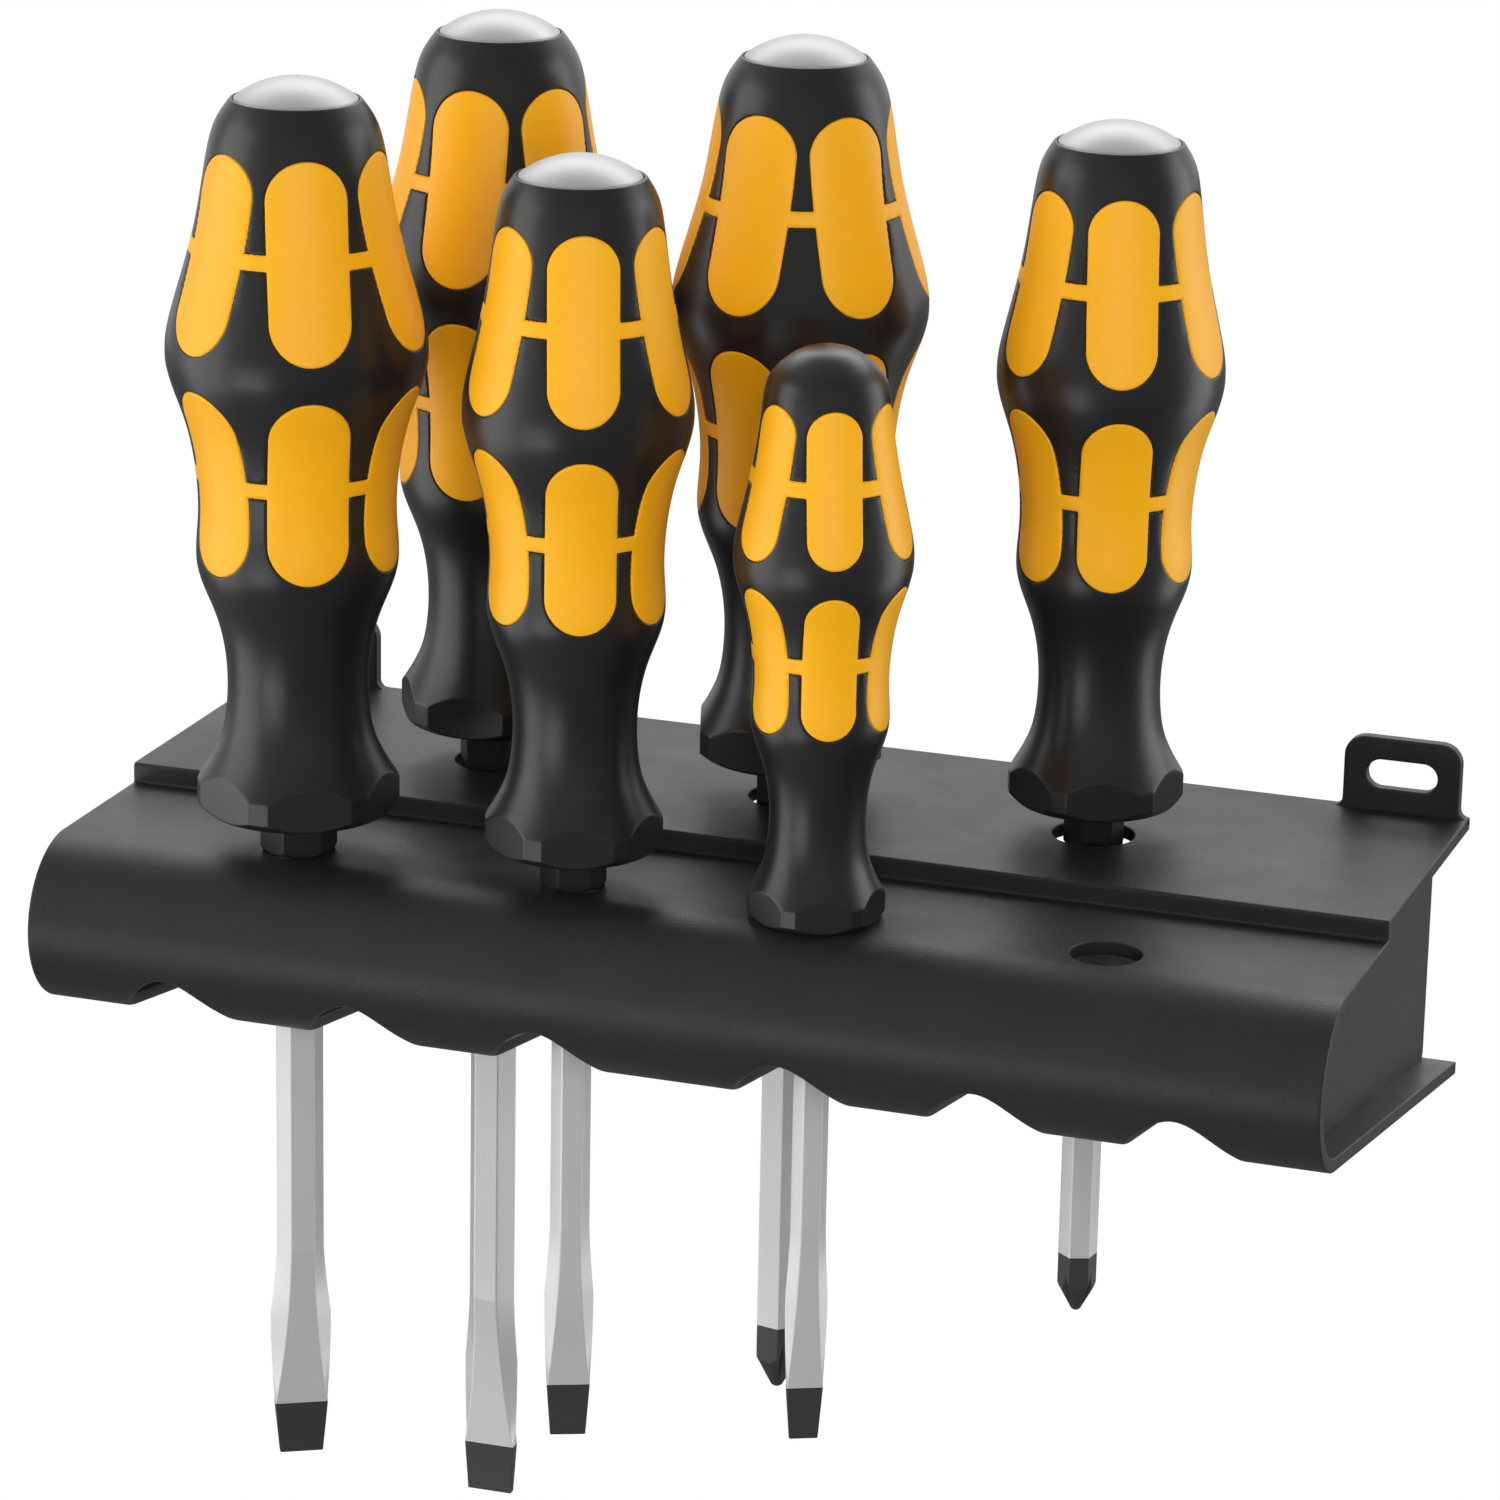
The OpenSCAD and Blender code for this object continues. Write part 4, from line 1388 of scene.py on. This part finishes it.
    def shell(self) -> Surface:
        """Returns the bent sheet: a flat net with its openings, rolled round the section.

        Near an edge both faces drop by a quarter circle, wider at the slots' outer edge.

        Returns:
            The closed sheet.
        """
        path = self.outer_path()
        end = arc_length(path)[-1]
        half = self.length / 2
        rows = rows_along(path, 3 * MM, math.radians(3.5))
        margin = np.array([0.04, 0.1, 0.2, 0.32, 0.9]) * MM
        rows = np.unique(np.concatenate([rows, margin, end - margin]))
        columns = np.linspace(-half, half, 96)
        columns = np.unique(np.concatenate([columns, -half + margin, half - margin]))
        holes, slots = self.openings()
        free = np.stack(np.meshgrid(columns[1:-1], rows[1:-1]), 2).reshape(-1, 2)
        loops = holes + slots
        free = free[(distance_to(free, holes) > 0.6 * MM) & (distance_to(free, slots) > 1.5 * MM)]
        rings = []
        for loop, ease in [(h, self.hole_ease) for h in holes] + [(s, self.lip_ease) for s in slots]:
            normal = loop_normals(loop)
            away = np.sign(((loop[:-1] - loop[:-1].mean(0)) * normal).sum(1))[:, None]
            for share in (0.08, 0.25, 0.5, 0.8, 1.1):
                rings.append(loop[:-1] + normal * away * share * ease)
        border = np.array([[-half, 0], [half, 0], [half, end], [-half, end], [-half, 0]])
        sides = [np.column_stack([np.full(len(rows), x), rows]) for x in (-half, half)]
        sides += [np.column_stack([columns, np.full(len(columns), y)]) for y in (0.0, end)]
        plane, triangles = triangulate(np.vstack([free, *rings]), loops + sides)
        middle = plane[triangles].mean(1)
        keep = ~np.any([inside(middle, loop) for loop in loops], 0)
        triangles = triangles[keep]
        near_slot, near_hole, near_edge = (distance_to(plane, chains) for chains in (slots, holes, [border]))
        outer_depth = np.max([
            eased_depth(near_slot, self.lip_ease), eased_depth(near_hole, self.hole_ease),
            eased_depth(near_edge, self.edge_ease)], 0)
        inner_depth = eased_depth(np.min([near_slot, near_hole, near_edge], 0), 0.2 * MM)
        outer = self.sheet_point(plane, outer_depth)
        inner = self.sheet_point(plane, self.wall - inner_depth)
        return closed_shell(outer, inner, triangles)


def inside(points: Array, loop: Array) -> Array:
    """Returns whether plane points lie inside a closed loop, by counting crossings to the right.

    Args:
        points: plane points, one row each.
        loop: closed loop, its last point the same as its first.

    Returns:
        One truth value for each point.
    """
    x, y = points[:, :1], points[:, 1:]
    x0, y0, x1, y1 = loop[:-1, 0], loop[:-1, 1], loop[1:, 0], loop[1:, 1]
    spans = (y0 > y) != (y1 > y)
    slope = np.where(y1 == y0, 1e-12, y1 - y0)
    return (spans & (x < (x1 - x0) * (y - y0) / slope + x0)).sum(1) % 2 == 1


def loop_normals(loop: Array) -> Array:
    """Returns the unit normals of a closed loop, one for each of its points.

    Args:
        loop: closed loop, its last point the same as its first.

    Returns:
        One row for each point, without the repeated last one.
    """
    step = np.gradient(loop[:-1], axis=0)
    normal = np.column_stack([-step[:, 1], step[:, 0]])
    return normal / np.maximum(np.linalg.norm(normal, axis=1), 1e-12)[:, None]


def divided(loop: Array, longest: float) -> Array:
    """Returns a closed loop with points added so that no side is longer than the given length.

    Args:
        loop: closed loop, its last point the same as its first.
        longest: greatest length of a side.

    Returns:
        The loop with its added points.
    """
    leg = np.diff(loop, axis=0)
    count = np.maximum(1, np.ceil(np.linalg.norm(leg, axis=1) / longest)).astype(int)
    number = np.arange(count.sum()) - np.repeat(np.cumsum(count) - count, count)
    share = (number / np.repeat(count, count))[:, None]
    return np.vstack([np.repeat(loop[:-1], count, axis=0) + share * np.repeat(leg, count, axis=0), loop[-1:]])


@dataclass
class Plate:
    """A flat plate with eased edges, cut to an outline with holes.

    Args:
        outline: closed outer loop in the plate's plane.
        holes: closed inner loops.
        thickness: thickness of the plate.
        ease: radius of its edges.
    """

    outline: Array
    holes: list[Array]
    thickness: float
    ease: float = 0.35 * MM

    def build(self, place: Place) -> Surface:
        """Returns the plate as a closed surface.

        Args:
            place: turns plane points and depths below the first face into points in space.

        Returns:
            The surface; its first face is the one at depth 0.
        """
        outline, holes = divided(self.outline, 0.8 * MM), [divided(hole, 0.8 * MM) for hole in self.holes]
        low, high = outline.min(0), outline.max(0)
        steps = [np.arange(a, b, 2.5 * MM) for a, b in zip(low, high)]
        grid = np.stack(np.meshgrid(*steps), 2).reshape(-1, 2)
        loops = [outline, *holes]
        clear = distance_to(grid, loops)
        grid = grid[inside(grid, outline) & (clear > 1.2 * MM)]
        rings = []
        for loop in loops:
            normal = loop_normals(loop)
            for share in (0.1, 0.3, 0.6, 1.05):
                for side in (1, -1):
                    candidate = loop[:-1] + side * normal * share * self.ease
                    good = inside(candidate, outline)
                    for hole in holes:
                        good &= ~inside(candidate, hole)
                    rings.append(candidate[good & (distance_to(candidate, [loop]) > 0.9 * share * self.ease)])
        plane, triangles = triangulate(np.vstack([grid, *rings]), loops)
        middle = plane[triangles].mean(1)
        keep = inside(middle, outline)
        for hole in holes:
            keep &= ~inside(middle, hole)
        depth = eased_depth(distance_to(plane, loops), self.ease)
        return closed_shell(place(plane, depth), place(plane, self.thickness - depth), triangles[keep])


def stadium(length: float, width: float, centre: tuple[float, float], steps: int = 20) -> Array:
    """Returns a closed loop with round ends, level in the plane, anticlockwise.

    Args:
        length: its full length.
        width: its width.
        centre: its middle.
        steps: points on each round end.

    Returns:
        The closed loop.
    """
    cap = circle(np.linspace(-math.pi / 2, math.pi / 2, steps)) * width / 2
    reach = (length - width) / 2
    loop = np.vstack([cap + [reach, 0], -cap - [reach, 0]])
    return np.vstack([loop, loop[:1]]) + np.array(centre)


@dataclass
class Ear:
    """An upright wall tab with a level slot for a screw."""

    width: float = 17.4 * MM
    height: float = 11 * MM
    corner: float = 3.1 * MM
    blend: float = 1.3 * MM
    thickness: float = 2 * MM
    slot_length: float = 10.5 * MM
    slot_width: float = 4.3 * MM
    top: float = -5.5 * MM

    def build(self, x: float) -> Surface:
        """Returns the ear centred at x, with its back on the wall plane.

        Its outline has two round upper corners and a hollow quarter circle at each foot.

        Args:
            x: place of its middle along the rack.

        Returns:
            The closed ear.
        """
        half, foot = self.width / 2, self.top - 1 * MM
        ring = circle(np.linspace(0, math.pi / 2, 10))
        right = np.vstack([
            [[half + self.blend, foot]],
            np.array([half + self.blend, self.top + self.blend]) - ring[::-1] * self.blend,
            np.array([half - self.corner, self.top + self.height - self.corner]) + ring * self.corner])
        left = right[::-1] * [-1, 1]
        outline = np.vstack([right, left, right[:1]]) + [x, 0]
        hole = stadium(self.slot_length, self.slot_width, (x, 0.0))

        def upright(plane: Array, depth: Array) -> Array:
            """Stands the plate up, its front face towards -Y."""
            return np.column_stack([plane[:, 0], depth - self.thickness, plane[:, 1]])

        return Plate(outline, [hole], self.thickness).build(upright)


@dataclass
class RackBuilder:
    """Makes every piece of the rack and dresses it.

    Args:
        rack: the sheet and its sizes.
        ear: the tab that stands at both ends.
        wall_depth: how deep the cross walls' outline lies under the outside of the sheet.
        wall_gap: distance of the cross walls from the wall plane.
        ear_at: distance of the ears' middles from the middle.
        seat_bars: width across flats of the blade in each back hole.
        seat_play: play between those blades and the seat lugs.
        lug_end: distance of the lugs' outer ends from the middle of their hole.
        lug_width: width of a lug.
        lug_height: height of a lug.
    """

    rack: Rack = field(default_factory=Rack)
    ear: Ear = field(default_factory=Ear)
    wall_depth: float = 1.7 * MM
    wall_gap: float = 0.01 * MM
    ear_at: float = 85 * MM
    seat_bars: tuple[float, ...] = (6.3 * MM, 6.3 * MM, 5 * MM)
    seat_play: float = 0.4 * MM
    lug_end: float = 7.2 * MM
    lug_width: float = 5 * MM
    lug_height: float = 2 * MM

    def cross_wall(self, x: float, thickness: float, outwards: int) -> Surface:
        """Returns a wall across the inside of the section, one face at x, the other further in.

        Its outline is the section set in by most of the sheet's thickness.

        Args:
            x: place of its outer face.
            thickness: thickness of the wall.
            outwards: 1 where that face looks towards +X, -1 where it looks towards -X.

        Returns:
            The closed wall.
        """
        rows = rows_along(self.rack.outer_path(), 2.5 * MM, math.radians(6))
        depth = np.full(len(rows), self.wall_depth)
        inner = self.rack.sheet_point(np.column_stack([np.zeros(len(rows)), rows]), depth)[:, 1:]
        inner = inner[inner[:, 0] < -self.wall_gap]
        inner = np.vstack([[[-self.wall_gap, inner[0, 1]]], inner, [[-self.wall_gap, inner[-1, 1]]]])
        outline = np.vstack([inner, inner[:1]])

        def across(plane: Array, depth: Array) -> Array:
            """Stands the plate across the rack."""
            place = np.broadcast_to(x - outwards * depth, len(plane))
            return np.column_stack([place, plane[:, 0], plane[:, 1]])

        return outward(Plate(outline, [], thickness, 0.1 * MM).build(across))

    def lugs(self) -> Surface:
        """Returns the six seat lugs under the back holes, which carry the ends of the bolsters.

        Returns:
            All lugs as one surface.
        """
        shape = None
        for x, bar in zip(self.rack.back_places, self.seat_bars):
            inner = bar / math.sqrt(3) + self.seat_play
            reach = self.lug_end - inner
            for side in (-1, 1):
                near = -self.rack.back_row + (inner if side > 0 else -inner - reach)
                angles = turns(64) + math.pi / 64
                box = np.minimum(
                    self.lug_width / 2 / np.abs(np.cos(angles)), reach / 2 / np.abs(np.sin(angles)))
                low = self.rack.top - self.rack.wall - self.lug_height
                heights = low + np.array([0, 0.2 * MM, self.lug_height + 0.2 * MM])
                radius = np.stack([box * 0.9, box, box])
                lug = polar_solid(radius, heights, angles)
                lug.points += [x, near + reach / 2, 0]
                shape = lug if shape is None else shape.joined(lug)
        return shape

    def build(self, paint: Paintbox) -> None:
        """Builds the sheet, end walls, ribs, ears and lugs, and lets them stand for the CAD rack.

        Args:
            paint: all finishes of the set.
        """
        end = self.rack.length / 2 - self.rack.end_inset
        rib = self.rack.rib_at + self.rack.rib / 2
        pieces = {
            "rack_shell": self.rack.shell(),
            "rack_end_left": self.cross_wall(-end, self.rack.wall, -1),
            "rack_end_right": self.cross_wall(end, self.rack.wall, 1),
            "rack_rib_left": self.cross_wall(-rib, self.rack.rib, -1),
            "rack_rib_right": self.cross_wall(rib, self.rack.rib, 1),
            "rack_ear_left": self.ear.build(-self.ear_at),
            "rack_ear_right": self.ear.build(self.ear_at),
            "rack_lugs": self.lugs(),
        }
        for name, shape in pieces.items():
            piece = shape.to_object(name, [paint.rack])
            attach(piece, "root")
            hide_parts("rack")
            LOG.info("%s: %d triangles", name, len(shape.triangles))


def outward(surface: Surface) -> Surface:
    """Returns the surface with its faces turned outwards, going by its signed volume.

    Args:
        surface: a closed surface.

    Returns:
        The same surface, with its faces put right.
    """
    a, b, c = (surface.points[surface.triangles[:, i]] - surface.points.mean(0) for i in range(3))
    if np.einsum("ij,ij->i", a, np.cross(b, c)).sum() < 0:
        surface.triangles = surface.triangles[:, ::-1]
    return surface


# Camera, light and floor


@dataclass(frozen=True)
class SoftBox:
    """A soft rectangular lamp that looks at the middle of the set.

    Args:
        name: name of the lamp.
        place: its position.
        size: its width and height.
        power: its power in watts.
        mirrored: whether glossy surfaces show it.
        target: the point that it looks at.
    """

    name: str
    place: tuple[float, float, float]
    size: tuple[float, float]
    power: float
    mirrored: bool = True
    target: tuple[float, float, float] = (0, -0.04, 0)

    def make(self) -> None:
        """Adds the lamp to the scene."""
        data = bpy.data.lights.new(self.name, "AREA")
        data.shape = "RECTANGLE"
        data.size, data.size_y = self.size
        data.energy = self.power
        lamp = bpy.data.objects.new(self.name, data)
        lamp.location = self.place
        lamp.rotation_euler = (Vector(self.target) - Vector(self.place)).to_track_quat("-Z", "Y").to_euler()
        lamp.visible_glossy = self.mirrored
        bpy.context.scene.collection.objects.link(lamp)


@dataclass
class Studio:
    """The camera of the photograph, a white studio and a pale floor.

    Args:
        azimuth: how far right of straight ahead the camera stands, in degrees.
        elevation: how far it looks down, in degrees.
        roll: its turn about its own line of sight, in degrees.
        location: its position.
        lens: focal length in millimetres on the sensor.
        sensor: width of the sensor in millimetres.
        shift: shift of the lens, as shares of the frame.
        clip: nearest and farthest distance that it sees.
        floor_height: height of the floor.
        floor_sides: the floor's left, front, right and rear edge.
        floor_tone: how pale the floor is to diffuse light.
        front_left: strength of the room on the left before the set.
        front_right: strength of the room on the right before the set.
        across_from: values of the direction's X between which the front fades.
        behind_from: values of the direction's Y between which the room grows white.
        mirror_share: how much of the white floor a mirror shows.
        lamps: the soft boxes.
    """

    azimuth: float = 18.85
    elevation: float = 17.349
    roll: float = 1.1312
    location: tuple[float, float, float] = (0.26088, -0.81081, 0.25836)
    lens: float = 142.115
    sensor: float = 36
    shift: tuple[float, float] = (-0.00012, 0.0027)
    clip: tuple[float, float] = (0.01, 40)
    floor_height: float = -1.2
    floor_sides: tuple[float, float, float, float] = (-5, -5, 5, 12)
    floor_tone: float = 0.12
    front_left: float = 0.5
    front_right: float = 0.25
    across_from: tuple[float, float] = (-0.9, 0.5)
    behind_from: tuple[float, float] = (0.15, 0.8)
    mirror_share: float = 0.1
    lamps: tuple[SoftBox, ...] = (
        SoftBox("overhead", (-0.3, 1.15, 1.3), (2.4, 0.9), 20),
        SoftBox("tall_left", (-1.36, -0.62, 0.05), (1.3, 2.0), 15.5),
        SoftBox("low_front", (-0.55, -1.5, -0.5), (0.9, 0.55), 4.2),
        SoftBox("tall_right", (1.32, 0.7, 0.0), (0.9, 1.9), 11),
        SoftBox("front_fill", (0.7, -1.5, 0.4), (1.0, 1.0), 17, mirrored=False),
    )

    def camera(self) -> None:
        """Sets up the camera fitted to the photograph."""
        a, e, r = (math.radians(v) for v in (self.azimuth, self.elevation, self.roll))
        ahead = Vector((-math.sin(a) * math.cos(e), math.cos(a) * math.cos(e), -math.sin(e)))
        level = Vector((math.cos(a), math.sin(a), 0))
        above = level.cross(ahead)
        right = math.cos(r) * level + math.sin(r) * above
        up = -math.sin(r) * level + math.cos(r) * above
        data = bpy.data.cameras.new("photo_camera")
        data.sensor_width = self.sensor
        data.lens = self.lens
        data.shift_x, data.shift_y = self.shift
        data.clip_start, data.clip_end = self.clip
        camera = bpy.data.objects.new("photo_camera", data)
        matrix = Matrix((right, up, -ahead)).transposed().to_4x4()
        matrix.translation = Vector(self.location)
        camera.matrix_world = matrix
        bpy.context.scene.collection.objects.link(camera)
        bpy.context.scene.camera = camera

    def world(self) -> None:
        """Makes the room: white for the camera, and for the light white behind the set and dim before it.

        Before the set the strength falls with the direction's X, from the left to the right. It rises
        to white with the direction's Y.
        """
        world = bpy.data.worlds.new("white_studio")
        world.use_nodes = True
        graph = Graph(world.node_tree)
        room, surface = (graph.tree.nodes[name] for name in ("Background", "World Output"))
        room.inputs["Color"].default_value = (1, 1, 1, 1)
        where, axes, path = (graph.add(kind) for kind in ("TexCoord", "SeparateXYZ", "LightPath"))
        names = ("From Min", "From Max", "To Min", "To Max")
        fades = (*self.across_from, self.front_left, self.front_right), (*self.behind_from, 0.0, 1.0)
        across, behind = (
            graph.add("MapRange", dict(zip(names, ends)), interpolation_type="SMOOTHSTEP") for ends in fades)
        level = graph.add("Mix", {"B": 1.0})
        seen = graph.add("Background", {"Color": (1, 1, 1, 1), "Strength": 1.0})
        blend = graph.add("MixShader")
        graph.join(
            (where, "Generated", axes, "Vector"), (axes, "X", across, "Value"), (axes, "Y", behind, "Value"),
            (behind, "Result", level, "Factor"), (across, "Result", level, "A"),
            (level, "Result", room, "Strength"), (path, "Is Camera Ray", blend, "Fac"),
            (room, "Background", blend, 1), (seen, "Background", blend, 2),
            (blend, "Shader", surface, "Surface"))
        bpy.context.scene.world = world

    def floor(self) -> None:
        """Lays a pale floor well below the blades: white for the camera, and paler by a share in mirrors."""
        mesh = bpy.data.meshes.new("pale_floor")
        left, front, right, rear = self.floor_sides
        plan = (left, front), (right, front), (right, rear), (left, rear)
        corners = [(x, y, self.floor_height) for x, y in plan]
        mesh.from_pydata(corners, [], [(0, 1, 2, 3)])
        floor = bpy.data.objects.new("pale_floor", mesh)
        bpy.context.scene.collection.objects.link(floor)
        material = bpy.data.materials.new("pale_floor_paint")
        material.use_nodes = True
        graph = Graph(material.node_tree)
        shader, surface = (graph.tree.nodes[name] for name in ("Principled BSDF", "Material Output"))
        shader.inputs["Base Color"].default_value = (self.floor_tone, self.floor_tone, self.floor_tone, 1)
        shader.inputs["Roughness"].default_value = 0.9
        glow = graph.add("Emission", {"Strength": 1.0})
        path, blend = graph.add("LightPath"), graph.add("MixShader")
        white = graph.add("Math", {1: self.mirror_share}, operation="MULTIPLY_ADD")
        graph.join(
            (path, "Is Glossy Ray", white, 0), (path, "Is Camera Ray", white, 2),
            (white, "Value", blend, "Fac"), (shader, "BSDF", blend, 1), (glow, "Emission", blend, 2),
            (blend, "Shader", surface, "Surface"))
        mesh.materials.append(material)

    def build(self) -> None:
        """Sets up camera, world, lamps and floor."""
        self.camera()
        self.world()
        for lamp in self.lamps:
            lamp.make()
        self.floor()
        bpy.context.scene.view_settings.view_transform = "Standard"


LARGE = {"length": 105.5 * MM, "belly": 36.8 * MM, "cap": 17.4 * MM, "bolster": 9.6 * MM}
MEDIUM = {"length": 98.7 * MM, "belly": 32.1 * MM, "cap": 17.2 * MM}
SMALL = {"length": 81.5 * MM, "belly": 24.8 * MM}
DRIVERS = [
    Driver("slotted_long", Tip.SLOTTED, bar=6.3 * MM, turn=1.5, edge=7 * MM, flare=8.6 * MM, **LARGE),
    Driver("slotted_middle", Tip.SLOTTED, bar=6 * MM, turn=30, edge=6.3 * MM, flare=9 * MM, **LARGE),
    Driver("slotted_short", Tip.SLOTTED, bar=5 * MM, turn=23.5, edge=5.1 * MM, flare=7.2 * MM,
           bolster=8.2 * MM, **MEDIUM),
    Driver("slotted_fine", Tip.SLOTTED, bar=4.5 * MM, turn=26, edge=4.1 * MM, flare=6.2 * MM, **SMALL),
    Driver("cross_large", Tip.CROSS, bar=6.3 * MM, turn=-11.7, black=10.4 * MM, **LARGE),
    Driver("cross_small", Tip.CROSS, bar=5 * MM, turn=21, black=9 * MM, bolster=7.6 * MM, **MEDIUM),
]


def main() -> None:
    """Builds the rack, the drivers and the studio."""
    logging.basicConfig(level=logging.INFO)
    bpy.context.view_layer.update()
    paint = Paintbox()
    RackBuilder().build(paint)
    for driver in DRIVERS:
        driver.build(paint)
    Studio().build()


if __name__ == "__main__":
    main()
